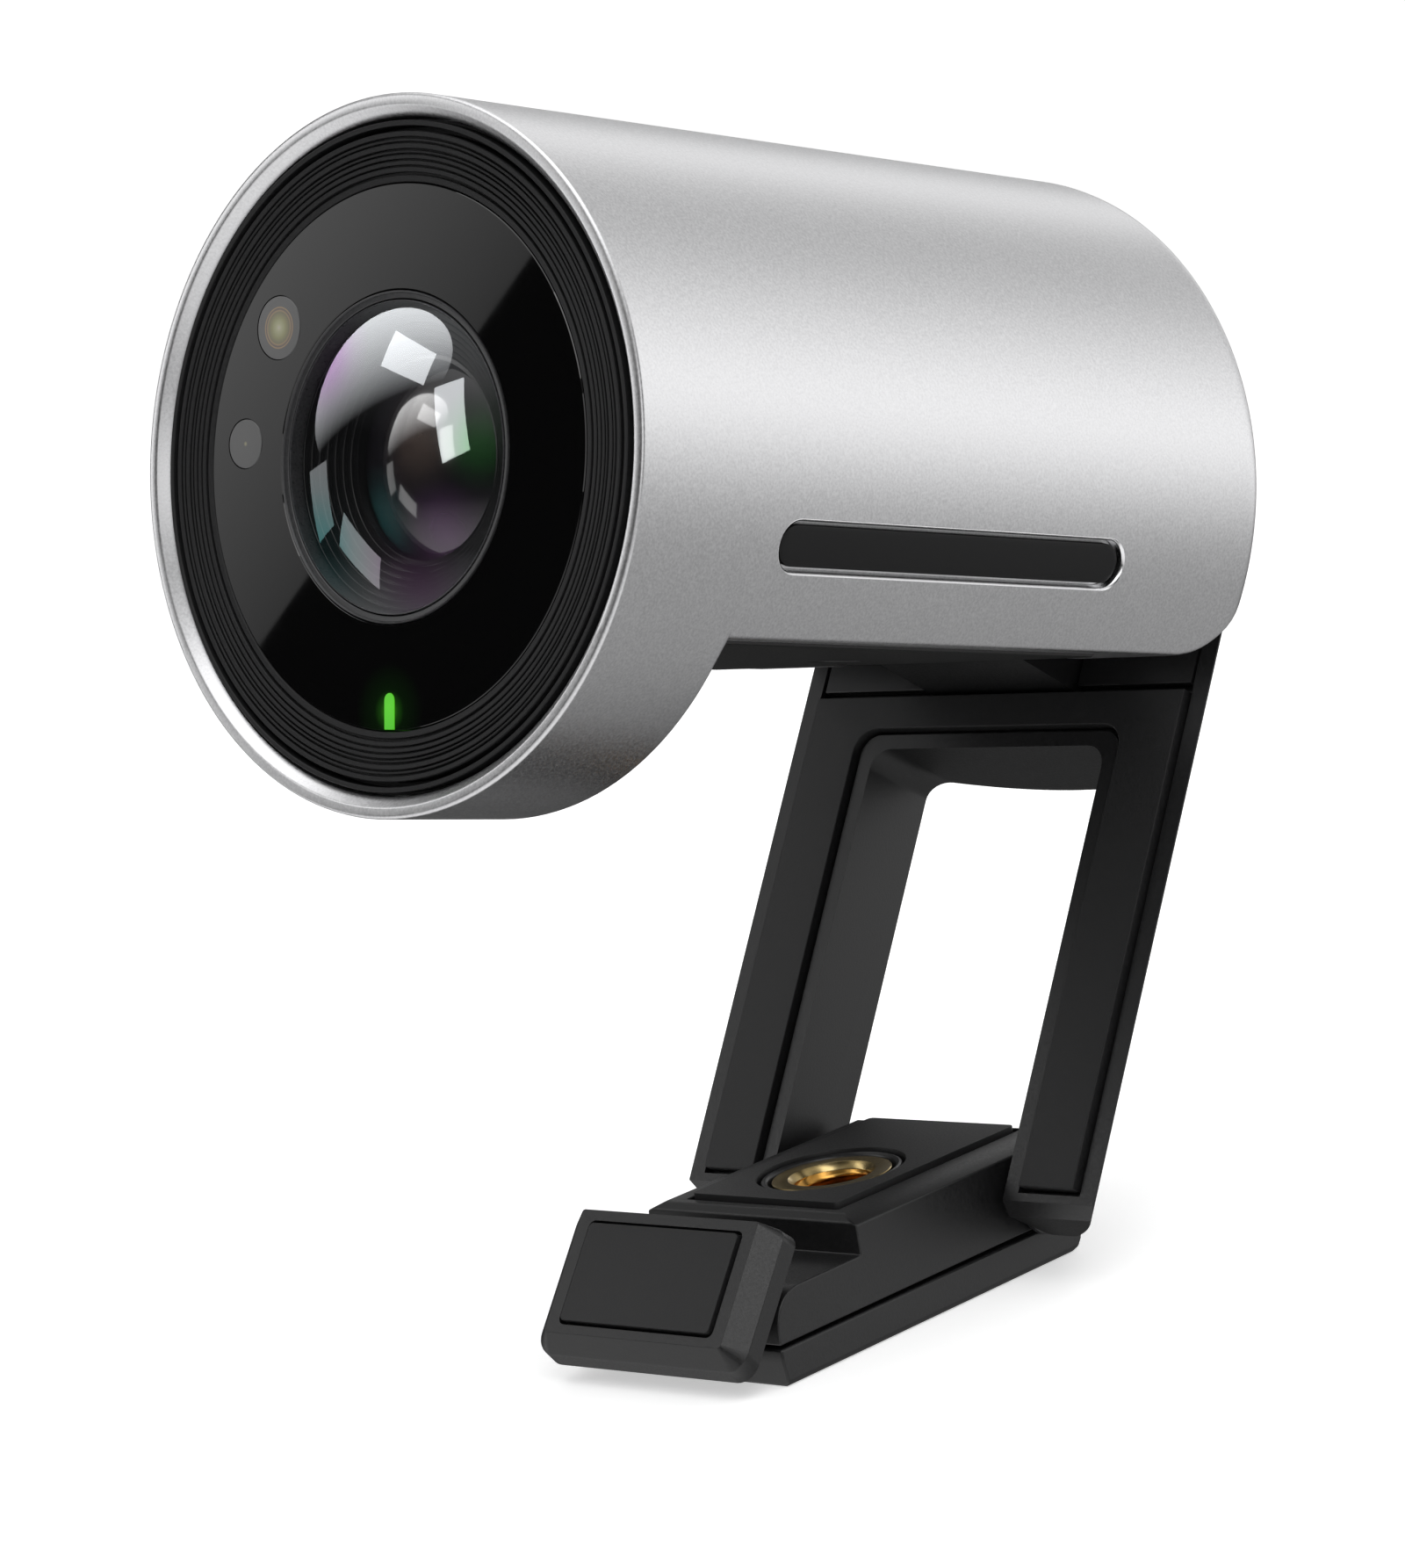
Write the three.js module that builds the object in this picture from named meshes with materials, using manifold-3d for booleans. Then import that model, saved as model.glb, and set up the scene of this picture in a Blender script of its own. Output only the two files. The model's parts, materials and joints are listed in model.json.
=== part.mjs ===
// Folding clip webcam: cylindrical head on an n-shaped frame, with a foot and a small hinged clip plate.
// Units are millimetres, +Z is up and the lens looks along -Y. The foot's underside is the plane z = 0.
import * as THREE from 'three';
import Module from 'manifold-3d';
import { mergeVertices } from 'three/addons/utils/BufferGeometryUtils.js';

const wasm = await Module();
wasm.setup();

// ---------- main dimensions ----------
const GAP = 0.3;
const OVER = 1;
const ROUND = 64;
const SMALL_ROUND = 24;
const TILT = -13.22 * Math.PI / 180;
const ROW_SHIFT_Y = -33.25;
const HEAD_HEIGHT = 71.6;
const FOOT_SHIFT_Y = 25.25;
const FOOT_HEIGHT = 10.4;

const HEAD = {
  r: 25.3, length: 68, fillet: 2, wall: 2, rimFlatR: 24.44, rimInnerR: 23.72, rimDepth: 0.7,
  seatDepth: 3.4, boreR: 23.3, cutZ: -13.05, notchY: 12.05, floorZ: -10.6, rimEdge: 0.25,
};
const HINGE = {
  y: 61.6, z: -6.9, cornerR: 6.1, floorR: 3.65, knuckleR: 6.15, knuckleHalf: 7.4, pinR: 1.6,
  boreR: 1.95, openAngle: 69.87 * Math.PI / 180,
};
const BRACKET = {
  half: 11.9, slotHalf: 8.9, y0: 53.7, y1: 67.6, z0: -11.6, z1: 1.3, slotY: 55.05, slotZ: -0.35,
};
const BAY = { half: 12.2, y0: 53.4, z1: 1.6 };
const WASHER = { outerR: 3.6, thick: 0.9, x: 8.15 };

const RING = { outerR: 23.4, innerR: 19.3, y0: 0.45, drop: 0.075, steps: 6, back: 3.2 };
const WINDOW = { r: 19, innerR: 11.95, y0: 0.9, y1: 3.2, outlineSegments: 48 };
const BEZEL = { outerR: 11.65, innerR: 11.1, y0: 0.9, y1: 4.4, lip: 0.2 };
const LENS = { r: 10.8, apexY: -0.7, edgeY: 1.1, backY: 4.1, arcSteps: 6 };
const BARREL = {
  outerR: 10.2, innerR: 8.6, y0: 4.45, y1: 15, rearOuterR: 7.6, rearInnerR: 5.4, stepY: 10, slope: 1,
};
const REAR_LENS = { r: 5.05, y0: 11, y1: 14, bulge: 0.8 };
const HOLDER = { half: 12, bottom: -10.2, y0: 15.4, y1: 20.6, boreR: 5.4 };
const SENSOR = { halfX: 4.6, halfZ: 3.6, y0: 20.1, y1: 21.2 };
const SENSOR_BOARD = { half: 13, y0: 21.6, y1: 22.8 };
const MAIN_BOARD = { halfX: 17, y0: 26, y1: 51, z0: -8.6, z1: -7.4 };
const SPREADER = {
  halfX: 15, y0: 28, y1: 49, z0: -6.6, z1: -4.6, finHalf: 0.5, finTop: -1.6, fins: 5, pitch: 6,
};
const EMITTER = { x: -11.9, z: 9.9, r: 2.3, cupR: 1.5, cupDepth: 1.2, y0: 3.6, y1: 6.4 };
const LIGHT_SENSOR = { x: -15.5, z: 1.8, r: 1.5, y0: 3.6, y1: 5.4 };
const LIGHT_PIPE = { x: -0.4, z: -17.7, halfX: 0.6, halfZ: 1.15, y0: 3.6, y1: 7.6 };
const MIC = {
  angle: -15.4 * Math.PI / 180, y0: 14.2, y1: 51.8, halfHeight: 2, endRound: 1.99,
  coverR: 25, coverInnerR: 23.5,
};
const MIC_BOARD = { outer: 22.8, inner: 22, halfHeight: 1.8, endGap: 2 };
const REAR_COVER = { r: 23, y0: 66.2, y1: 67.7, bottomZ: -6.55, ribDepth: 0.5, ribR0: 20.4, ribR1: 21.2 };
const USB = { halfX: 4.5, halfZ: 1.6, wall: 0.35, z: 11, y0: 60.6, y1: 67.2, corner: 0.8 };
const BASE = { halfX: 19.6, y1: 54.2, z0: -13.3, z1: -12.2, pocketZ: -11.9, bevel: 0.3, screwSeat: 0.2 };
const BASE_SCREW = {
  headR: 1.7, shankR: 0.9, headTop: -12.65, headBottom: -13.15, top: -9.2, y: [24.8, 47],
};

const FRAME = {
  faceZ: -14.4, sideX: 20.65, y0: 13.1, y1: 67.8, windowHalf: 12, windowY: 50.75, windowCorner: 1.8,
  flareZ: -17.8, flareHalf: 12.57, flareY: 51.2, deepZ: -26, edge: 0.5, rearBevel: 2,
};
const LEG_END = { backRun: 3 };
const FRAME_PAD = {
  outerHalf: 18.97, innerHalf: 13.7, seamY: 55.1, endY: 15, topInnerY: 52.3, corner: 1.4,
  proud: 0.6, depth: 0.9, groove: 0.35,
};
const HINGE_COVER = { half: 18.97, y0: 55.75, y1: 66.6, depth: 0.8, seat: 1.1, groove: 0.3 };

const FOOT = {
  half: 10.7, s0: -11.6, s1: 23.35, top: -0.4, chamferX: 9.2, chamferN: -1.05, split: -7.2,
  noseR: 2.95, noseS: -8.65, noseN: -6.3, notchN: -3.35, wallS: -1.75, wallN: -0.9, wallTopS: -1.2,
};
const FOOT_REAR = [[21.6, -0.4], [22.4, -1.1], [23.1, -2.6], [23.35, -4.7], [23.35, -7.2]];
const COVER = {
  top: -7.5, bottom: -10.4, edge: 0.4, frontS: -11.3, rearS: 22.3, rearN: -9.6, rearTopN: -8.8,
};
const PIVOT = {
  s: 19.3, n: -4.7, pinR: 1, boreR: 1.35, boreInX: 5, boreOutX: 13.9, pinInX: 5.4, pinOutX: 13.6,
};
const HUB = { outerR: 3.2, x0: 11, x1: 11.7 };
const FOOT_PAD = { half: 7.45, s0: 0, s1: 21.1, top: 0, bottom: -0.8, groove: 0.3, holeR: 5.8, corner: 0.6 };
const INSERT = {
  s: 7.84, flangeR: 4.64, chamferR: 3.37, holeR: 2.95, bodyR: 3.9, top: -0.35, flangeN: -1.4, bottom: -7.1,
  chamferN: -0.8, seatR: 5.8, seatN: -1.7, bodySeatR: 4.25,
};
const COLLAR = { innerR: 4.94, outerR: 5.5, top: -0.2, bottom: -1.4 };
const FOOT_SCREW = {
  headR: 1.6, shankR: 0.85, s: [-2.9, 16], headBottom: -10.1, headTop: -9.4, top: -5, seat: 0.35,
};
const CLIP = {
  s: -10.7, n: 0.77, angle: 51.57 * Math.PI / 180, faceHalf: 9, half: 10.6, back: -2.8, bevelW: -1.4,
  top: 1.1, faceBottom: -8.7, midBottom: -9.9, midW: -1.3, bottom: -10.3, armHalf: 4.2, armR: 1.95,
  pinU: -4.26, pinW: -6, boreR: 1.1, pinR: 0.75, pinHalf: 7.6, topEdge: 0.35,
};
const CLIP_PAD = { half: 7.55, u0: -7.7, u1: 0, top: 0.25, bottom: -0.6, groove: 0.3, corner: 0.5 };
const CLIP_SLOT = { half: 4.55, s0: -12.6, s1: -6.2, n0: -9.3, pinHalf: 8, pinSlotHalf: 1.1 };

// ---------- materials ----------
const FINISH = {
  silver: [0xc4c6c9, 0.42, 0.85],
  black: [0x1e1f21, 0.6, 0.05],
  rubber: [0x17181a, 0.85, 0],
  darkMetal: [0x35373a, 0.4, 0.8],
  steel: [0x9b9ea3, 0.35, 0.9],
  brass: [0xc79a45, 0.3, 0.95],
  glass: [0x101216, 0.08, 0.1],
  board: [0x1d4a2c, 0.6, 0.1],
  green: [0x3fe04a, 0.4, 0],
  amber: [0x9a6a2a, 0.35, 0.4],
};

const webcam = new THREE.Group();
webcam.name = 'webcam_on_tripod';

// ---------- solid helpers ----------
function signedVolume(points, index) {
  const corner = [new THREE.Vector3(), new THREE.Vector3(), new THREE.Vector3()];
  let sum = 0;
  for (let i = 0; i < index.length; i += 3) {
    corner.forEach((vector, k) => vector.fromArray(points, 3 * index[i + k]));
    sum += corner[0].dot(corner[1].cross(corner[2]));
  }
  return sum;
}

function toSolid(geometry) {
  const bare = geometry.clone();
  bare.deleteAttribute('normal');
  bare.deleteAttribute('uv');
  const merged = mergeVertices(bare, 0.00001);
  const index = Uint32Array.from(merged.index.array);
  if (signedVolume(merged.attributes.position.array, index) < 0) {
    index.reverse();
  }
  const mesh = new wasm.Mesh({
    numProp: 3,
    vertProperties: Float32Array.from(merged.attributes.position.array),
    triVerts: index,
  });
  return new wasm.Manifold(mesh);
}

function toGeometry(solid) {
  const mesh = solid.getMesh();
  const geometry = new THREE.BufferGeometry();
  const count = mesh.vertProperties.length / mesh.numProp;
  const points = new Float32Array(count * 3);
  for (let i = 0; i < count; i += 1) {
    points[3 * i] = mesh.vertProperties[mesh.numProp * i];
    points[3 * i + 1] = mesh.vertProperties[mesh.numProp * i + 1];
    points[3 * i + 2] = mesh.vertProperties[mesh.numProp * i + 2];
  }
  geometry.setAttribute('position', new THREE.BufferAttribute(points, 3));
  geometry.setIndex(new THREE.BufferAttribute(Uint32Array.from(mesh.triVerts), 1));
  return geometry;
}

function cut(body, ...tools) {
  return tools.reduce((left, tool) => left.subtract(tool), body);
}

function join(body, ...others) {
  return others.reduce((left, other) => left.add(other), body);
}

function meet(body, ...others) {
  return others.reduce((left, other) => left.intersect(other), body);
}

function extrude(points, depth) {
  const shape = new THREE.Shape(points.map(([a, b]) => new THREE.Vector2(a, b)));
  return new THREE.ExtrudeGeometry(shape, { depth, bevelEnabled: false });
}

function axes(geometry, first, second, third, shift) {
  const matrix = new THREE.Matrix4().makeBasis(first, second, third);
  geometry.applyMatrix4(matrix);
  geometry.translate(shift.x, shift.y, shift.z);
  return toSolid(geometry);
}

const X = new THREE.Vector3(1, 0, 0);
const Y = new THREE.Vector3(0, 1, 0);
const Z = new THREE.Vector3(0, 0, 1);

// Profile in (y, z), drawn out along x.
function prismX(points, x0, x1) {
  return axes(extrude(points, x1 - x0), Y, Z, X, new THREE.Vector3(x0, 0, 0));
}

// Profile in (x, z), drawn out along y.
function prismY(points, y0, y1) {
  const swapped = points.map(([x, z]) => [z, x]);
  return axes(extrude(swapped, y1 - y0), Z, X, Y, new THREE.Vector3(0, y0, 0));
}

// Profile in (x, y), drawn out along z.
function prismZ(points, z0, z1) {
  return axes(extrude(points, z1 - z0), X, Y, Z, new THREE.Vector3(0, 0, z0));
}

function box(x0, x1, y0, y1, z0, z1) {
  return prismZ([[x0, y0], [x1, y0], [x1, y1], [x0, y1]], z0, z1);
}

// Closed profile of (radius, height) points, turned round the local Y axis.
function turned(points, segments) {
  const profile = [...points, points[0]].map(([r, h]) => new THREE.Vector2(r, h));
  return toSolid(new THREE.LatheGeometry(profile, segments));
}

function disc(r, y0, y1, segments) {
  return turned([[0, y0], [r, y0], [r, y1], [0, y1]], segments);
}

function tube(innerR, outerR, y0, y1, segments) {
  return turned([[innerR, y0], [outerR, y0], [outerR, y1], [innerR, y1]], segments);
}

// Same turned solids, but standing along x or z through the point (u, v).
function alongX(solid, y, z) {
  return solid.rotate([0, 0, -90]).translate([0, y, z]);
}

function alongZ(solid, x, y) {
  return solid.rotate([90, 0, 0]).translate([x, y, 0]);
}

function alongY(solid, x, z) {
  return solid.translate([x, 0, z]);
}

function arc(cy, cz, r, from, to, steps) {
  const points = [];
  for (let i = 0; i <= steps; i += 1) {
    const angle = from + (to - from) * i / steps;
    points.push([cy + r * Math.cos(angle), cz + r * Math.sin(angle)]);
  }
  return points;
}

function roundedRect(x0, x1, y0, y1, r, steps) {
  const quarter = Math.PI / 2;
  return [
    ...arc(x1 - r, y1 - r, r, 0, quarter, steps),
    ...arc(x0 + r, y1 - r, r, quarter, 2 * quarter, steps),
    ...arc(x0 + r, y0 + r, r, 2 * quarter, 3 * quarter, steps),
    ...arc(x1 - r, y0 + r, r, 3 * quarter, 4 * quarter, steps),
  ];
}

// ---------- placing ----------
function inHead(solid) {
  return solid.rotate([THREE.MathUtils.radToDeg(TILT), 0, 0]).translate([0, ROW_SHIFT_Y, HEAD_HEIGHT]);
}

// Frame pieces are drawn folded under the head and are swung open round the upper hinge.
function inFrame(solid) {
  const swung = solid.translate([0, -HINGE.y, -HINGE.z])
    .rotate([THREE.MathUtils.radToDeg(HINGE.openAngle), 0, 0])
    .translate([0, HINGE.y, HINGE.z]);
  return inHead(swung);
}

function inFoot(solid) {
  return solid.translate([0, FOOT_SHIFT_Y + ROW_SHIFT_Y, FOOT_HEIGHT]);
}

// Lower hinge axis of the foot, found again in the folded frame's own (y, z).
function turn(y, z, angle) {
  return [y * Math.cos(angle) - z * Math.sin(angle), y * Math.sin(angle) + z * Math.cos(angle)];
}

function footPointInFrame(s, n) {
  const [y, z] = turn(s + FOOT_SHIFT_Y, n + FOOT_HEIGHT - HEAD_HEIGHT, -TILT);
  const [dy, dz] = turn(y - HINGE.y, z - HINGE.z, -HINGE.openAngle);
  return { y: HINGE.y + dy, z: HINGE.z + dz };
}

// Clip pieces use x, u (up the plate) and w (out of its face).
function inClip(solid) {
  return inFoot(solid.rotate([THREE.MathUtils.radToDeg(CLIP.angle), 0, 0]).translate([0, CLIP.s, CLIP.n]));
}

function add(name, solid, finish) {
  const [color, roughness, metalness] = FINISH[finish];
  const material = new THREE.MeshStandardMaterial({ color, roughness, metalness });
  const mesh = new THREE.Mesh(toGeometry(solid), material);
  mesh.name = name;
  webcam.add(mesh);
}

// ---------- head shell ----------
const filletArc = arc(0, 0, HEAD.fillet, 0, Math.PI / 2, 4)
  .map(([dr, dy]) => [HEAD.r - HEAD.fillet + dr, HEAD.length - HEAD.fillet + dy]);
const shellOuter = turned([
  [0, 0], [HEAD.r - HEAD.rimEdge, 0], [HEAD.r, HEAD.rimEdge], ...filletArc, [0, HEAD.length],
], ROUND);
const cornerArc = arc(HINGE.y, HINGE.z, HINGE.cornerR, -Math.PI / 2, 0, 6);
const bodySide = prismX([
  [-OVER, -HEAD.r - OVER], [HEAD.notchY, -HEAD.r - OVER], [HEAD.notchY, HEAD.cutZ], [HINGE.y, HEAD.cutZ],
  ...cornerArc, [HEAD.length + OVER, HINGE.z], [HEAD.length + OVER, HEAD.r + OVER], [-OVER, HEAD.r + OVER],
], -HEAD.r - OVER, HEAD.r + OVER);
const floorArc = arc(HINGE.y, HINGE.z, HINGE.floorR, -Math.PI / 2, 0, 5);
const cavitySide = prismX([
  [HEAD.seatDepth - OVER, -HEAD.r], [HEAD.notchY - HEAD.wall, -HEAD.r],
  [HEAD.notchY - HEAD.wall, HEAD.floorZ], [HINGE.y, HEAD.floorZ], ...floorArc,
  [HEAD.length + OVER, HINGE.z], [HEAD.length + OVER, HEAD.r],
  [HEAD.seatDepth - OVER, HEAD.r],
], -HEAD.r, HEAD.r);
const cavity = meet(disc(HEAD.boreR, HEAD.seatDepth - OVER, HEAD.length + OVER, ROUND), cavitySide);
const rimOpening = turned([
  [0, -OVER], [HEAD.rimFlatR, -OVER], [HEAD.rimFlatR, 0], [HEAD.rimInnerR, HEAD.rimDepth],
  [HEAD.rimInnerR, HEAD.seatDepth], [0, HEAD.seatDepth],
], ROUND);
const platePocket = box(
  -BASE.halfX - GAP, BASE.halfX + GAP, HEAD.notchY, BASE.y1 + GAP, HEAD.cutZ - OVER, BASE.pocketZ,
);
const hingeBay = box(-BAY.half, BAY.half, BAY.y0, HEAD.length + OVER, HEAD.cutZ - OVER, BAY.z1);

function stadium(y0, y1, halfHeight) {
  return roundedRect(y0, y1, -halfHeight, halfHeight, halfHeight * MIC.endRound / MIC.halfHeight, 6);
}

// Long rounded window through the wall, turned to its angle on the side. side is 1 for +x and -1 for -x.
function sideWindow(y0, y1, halfHeight, x0, x1, side) {
  const straight = prismX(stadium(y0, y1, halfHeight), x0, x1);
  const turnedDown = straight.rotate([0, THREE.MathUtils.radToDeg(-MIC.angle), 0]);
  return side > 0 ? turnedDown : turnedDown.mirror([1, 0, 0]);
}

function screwHoles(heads, r, z0, z1, toPlace) {
  return heads.map((y) => toPlace(disc(r, z0, z1, SMALL_ROUND), 0, y));
}

const shankR = BASE_SCREW.shankR + GAP;
const baseShanks = screwHoles(BASE_SCREW.y, shankR, BASE.z0 - OVER, BASE_SCREW.top + OVER, alongZ);
const shell = cut(
  meet(shellOuter, bodySide), cavity, rimOpening, platePocket, hingeBay,
  sideWindow(MIC.y0, MIC.y1, MIC.halfHeight, HEAD.boreR - HEAD.wall, HEAD.r + OVER, 1),
  sideWindow(MIC.y0, MIC.y1, MIC.halfHeight, HEAD.boreR - HEAD.wall, HEAD.r + OVER, -1),
  ...baseShanks,
);
add('head_shell', inHead(shell), 'silver');

// ---------- front stack ----------
const ringSteps = [];
const ringPitch = (RING.outerR - RING.innerR) / RING.steps;
for (let i = 0; i < RING.steps; i += 1) {
  const r = RING.outerR - ringPitch * i;
  const y = RING.y0 + RING.drop * i;
  ringSteps.push([r, y], [r - ringPitch, y]);
}
const ring = turned([[RING.innerR, RING.back], [RING.outerR, RING.back], ...ringSteps], ROUND);
add('front_ring', inHead(ring), 'black');

const windowDisc = tube(WINDOW.innerR, WINDOW.r, WINDOW.y0, WINDOW.y1, WINDOW.outlineSegments);
add('glass_window', inHead(windowDisc), 'glass');

const bezel = turned([
  [BEZEL.innerR, BEZEL.y1], [BEZEL.outerR, BEZEL.y1], [BEZEL.outerR, BEZEL.y0 + BEZEL.lip],
  [BEZEL.outerR - BEZEL.lip, BEZEL.y0], [BEZEL.innerR, BEZEL.y0 + BEZEL.lip],
], WINDOW.outlineSegments);
add('lens_bezel', inHead(bezel), 'darkMetal');

const sagitta = LENS.edgeY - LENS.apexY;
const domeR = (LENS.r * LENS.r + sagitta * sagitta) / (2 * sagitta);
const domeHalf = Math.asin(LENS.r / domeR);
const dome = [];
for (let i = 0; i <= LENS.arcSteps; i += 1) {
  const angle = domeHalf * i / LENS.arcSteps;
  dome.push([domeR * Math.sin(angle), LENS.apexY + domeR * (1 - Math.cos(angle))]);
}
const frontLens = turned([...dome, [LENS.r, LENS.backY], [0, LENS.backY]], SMALL_ROUND * 2);
add('lens_front_element', inHead(frontLens), 'glass');

const barrel = turned([
  [BARREL.innerR, BARREL.y0], [BARREL.outerR, BARREL.y0], [BARREL.outerR, BARREL.stepY],
  [BARREL.rearOuterR, BARREL.stepY + BARREL.slope], [BARREL.rearOuterR, BARREL.y1],
  [BARREL.rearInnerR, BARREL.y1], [BARREL.rearInnerR, BARREL.stepY],
  [BARREL.innerR, BARREL.stepY - BARREL.slope],
], SMALL_ROUND);
add('lens_barrel', inHead(barrel), 'black');

const rearLens = turned([
  [0, REAR_LENS.y0 - REAR_LENS.bulge], [REAR_LENS.r, REAR_LENS.y0], [REAR_LENS.r, REAR_LENS.y1],
  [0, REAR_LENS.y1 + REAR_LENS.bulge],
], SMALL_ROUND);
add('lens_rear_element', inHead(rearLens), 'glass');

const holder = cut(
  box(-HOLDER.half, HOLDER.half, HOLDER.y0, HOLDER.y1, HOLDER.bottom, HOLDER.half),
  disc(HOLDER.boreR, HOLDER.y0 - OVER, HOLDER.y1 + OVER, SMALL_ROUND),
  box(
    -SENSOR.halfX - GAP, SENSOR.halfX + GAP, SENSOR.y0 - GAP, HOLDER.y1 + OVER,
    -SENSOR.halfZ - GAP, SENSOR.halfZ + GAP,
  ),
);
add('lens_holder', inHead(holder), 'black');
add('image_sensor', inHead(box(
  -SENSOR.halfX, SENSOR.halfX, SENSOR.y0, SENSOR.y1, -SENSOR.halfZ, SENSOR.halfZ,
)), 'darkMetal');
add('sensor_board', inHead(box(
  -SENSOR_BOARD.half, SENSOR_BOARD.half, SENSOR_BOARD.y0, SENSOR_BOARD.y1,
  HEAD.floorZ + OVER, SENSOR_BOARD.half,
)), 'board');
add('main_board', inHead(box(
  -MAIN_BOARD.halfX, MAIN_BOARD.halfX, MAIN_BOARD.y0, MAIN_BOARD.y1, MAIN_BOARD.z0, MAIN_BOARD.z1,
)), 'board');

let spreader = box(-SPREADER.halfX, SPREADER.halfX, SPREADER.y0, SPREADER.y1, SPREADER.z0, SPREADER.z1);
for (let i = 0; i < SPREADER.fins; i += 1) {
  const x = SPREADER.pitch * (i - (SPREADER.fins - 1) / 2);
  const fin = box(
    x - SPREADER.finHalf, x + SPREADER.finHalf, SPREADER.y0 + OVER, SPREADER.y1 - OVER, SPREADER.z1 - OVER,
    SPREADER.finTop,
  );
  spreader = join(spreader, fin);
}
add('heat_spreader', inHead(spreader), 'steel');

// ---------- sensors behind the glass ----------
const emitter = cut(
  disc(EMITTER.r, EMITTER.y0, EMITTER.y1, SMALL_ROUND),
  turned([[0, EMITTER.y0 - OVER], [EMITTER.cupR, EMITTER.y0 - OVER], [EMITTER.cupR, EMITTER.y0],
    [EMITTER.cupR / 2, EMITTER.y0 + EMITTER.cupDepth], [0, EMITTER.y0 + EMITTER.cupDepth]], SMALL_ROUND),
);
add('emitter_module', inHead(alongY(emitter, EMITTER.x, EMITTER.z)), 'amber');
const lightSensor = disc(LIGHT_SENSOR.r, LIGHT_SENSOR.y0, LIGHT_SENSOR.y1, SMALL_ROUND);
add('light_sensor', inHead(alongY(lightSensor, LIGHT_SENSOR.x, LIGHT_SENSOR.z)), 'darkMetal');
const lightPipe = prismY(roundedRect(
  LIGHT_PIPE.x - LIGHT_PIPE.halfX, LIGHT_PIPE.x + LIGHT_PIPE.halfX,
  LIGHT_PIPE.z - LIGHT_PIPE.halfZ, LIGHT_PIPE.z + LIGHT_PIPE.halfZ, LIGHT_PIPE.halfX / 2, 2,
), LIGHT_PIPE.y0, LIGHT_PIPE.y1);
add('status_light_pipe', inHead(lightPipe), 'green');

// ---------- microphones ----------
const coverSkin = tube(MIC.coverInnerR, MIC.coverR, MIC.y0, MIC.y1, ROUND);
const micSides = [['right', 1], ['left', -1]];
for (const [label, side] of micSides) {
  const plug = sideWindow(
    MIC.y0 + GAP, MIC.y1 - GAP, MIC.halfHeight - GAP, HEAD.boreR - HEAD.wall, HEAD.r + OVER, side,
  );
  add(`mic_cover_${label}`, inHead(meet(coverSkin, plug)), 'black');
  const strip = sideWindow(
    MIC.y0 + MIC_BOARD.endGap, MIC.y1 - MIC_BOARD.endGap, MIC_BOARD.halfHeight,
    MIC_BOARD.inner, MIC_BOARD.outer, side,
  );
  add(`mic_board_${label}`, inHead(strip), 'board');
}

// ---------- rear cover and inlet ----------
const coverBlank = meet(
  disc(REAR_COVER.r, REAR_COVER.y0, REAR_COVER.y1, ROUND),
  box(-HEAD.r, HEAD.r, REAR_COVER.y0 - OVER, REAR_COVER.y1 + OVER, REAR_COVER.bottomZ, HEAD.r),
);
const coverRing = tube(
  REAR_COVER.ribR0, REAR_COVER.ribR1, REAR_COVER.y1 - REAR_COVER.ribDepth, REAR_COVER.y1 + OVER, ROUND,
);
const inletHole = prismY(roundedRect(
  -USB.halfX - GAP, USB.halfX + GAP, USB.z - USB.halfZ - GAP, USB.z + USB.halfZ + GAP, USB.corner, 2,
), REAR_COVER.y0 - OVER, REAR_COVER.y1 + OVER);
const bayHole = box(
  -BAY.half - GAP, BAY.half + GAP, REAR_COVER.y0 - OVER, REAR_COVER.y1 + OVER, -HEAD.r, BAY.z1 + GAP,
);
const upperRing = meet(coverRing, box(-HEAD.r, HEAD.r, REAR_COVER.y0, HEAD.length, 0, HEAD.r));
add('rear_cover', inHead(cut(coverBlank, upperRing, inletHole, bayHole)), 'black');

const socketOuter = prismY(roundedRect(
  -USB.halfX, USB.halfX, USB.z - USB.halfZ, USB.z + USB.halfZ, USB.corner, 2,
), USB.y0, USB.y1);
const socketInner = prismY(roundedRect(
  -USB.halfX + USB.wall, USB.halfX - USB.wall, USB.z - USB.halfZ + USB.wall, USB.z + USB.halfZ - USB.wall,
  USB.corner / 2, 2,
), USB.y0 + OVER, USB.y1 + OVER);
add('usb_socket', inHead(cut(socketOuter, socketInner)), 'steel');

// ---------- base plate ----------
const plateY0 = HEAD.notchY + GAP;
const plateSide = prismX([
  [plateY0, BASE.z1], [plateY0, BASE.z0 + BASE.bevel], [plateY0 + BASE.bevel, BASE.z0],
  [BASE.y1 - BASE.bevel, BASE.z0], [BASE.y1, BASE.z0 + BASE.bevel], [BASE.y1, BASE.z1],
], -BASE.halfX, BASE.halfX);
const plateHeads = screwHoles(
  BASE_SCREW.y, BASE_SCREW.headR + GAP, BASE.z0 - OVER, BASE_SCREW.headTop + BASE.screwSeat, alongZ,
);
const platePins = screwHoles(BASE_SCREW.y, shankR, BASE.z0 - OVER, BASE.z1 + OVER, alongZ);
add('base_plate', inHead(cut(plateSide, ...plateHeads, ...platePins)), 'black');

const screwNames = ['front', 'rear'];
BASE_SCREW.y.forEach((y, index) => {
  const screw = turned([
    [0, BASE_SCREW.headBottom], [BASE_SCREW.headR, BASE_SCREW.headBottom],
    [BASE_SCREW.headR, BASE_SCREW.headTop], [BASE_SCREW.shankR, BASE_SCREW.headTop],
    [BASE_SCREW.shankR, BASE_SCREW.top], [0, BASE_SCREW.top],
  ], SMALL_ROUND / 2);
  add(`base_screw_${screwNames[index]}`, inHead(alongZ(screw, 0, y)), 'steel');
});

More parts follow.
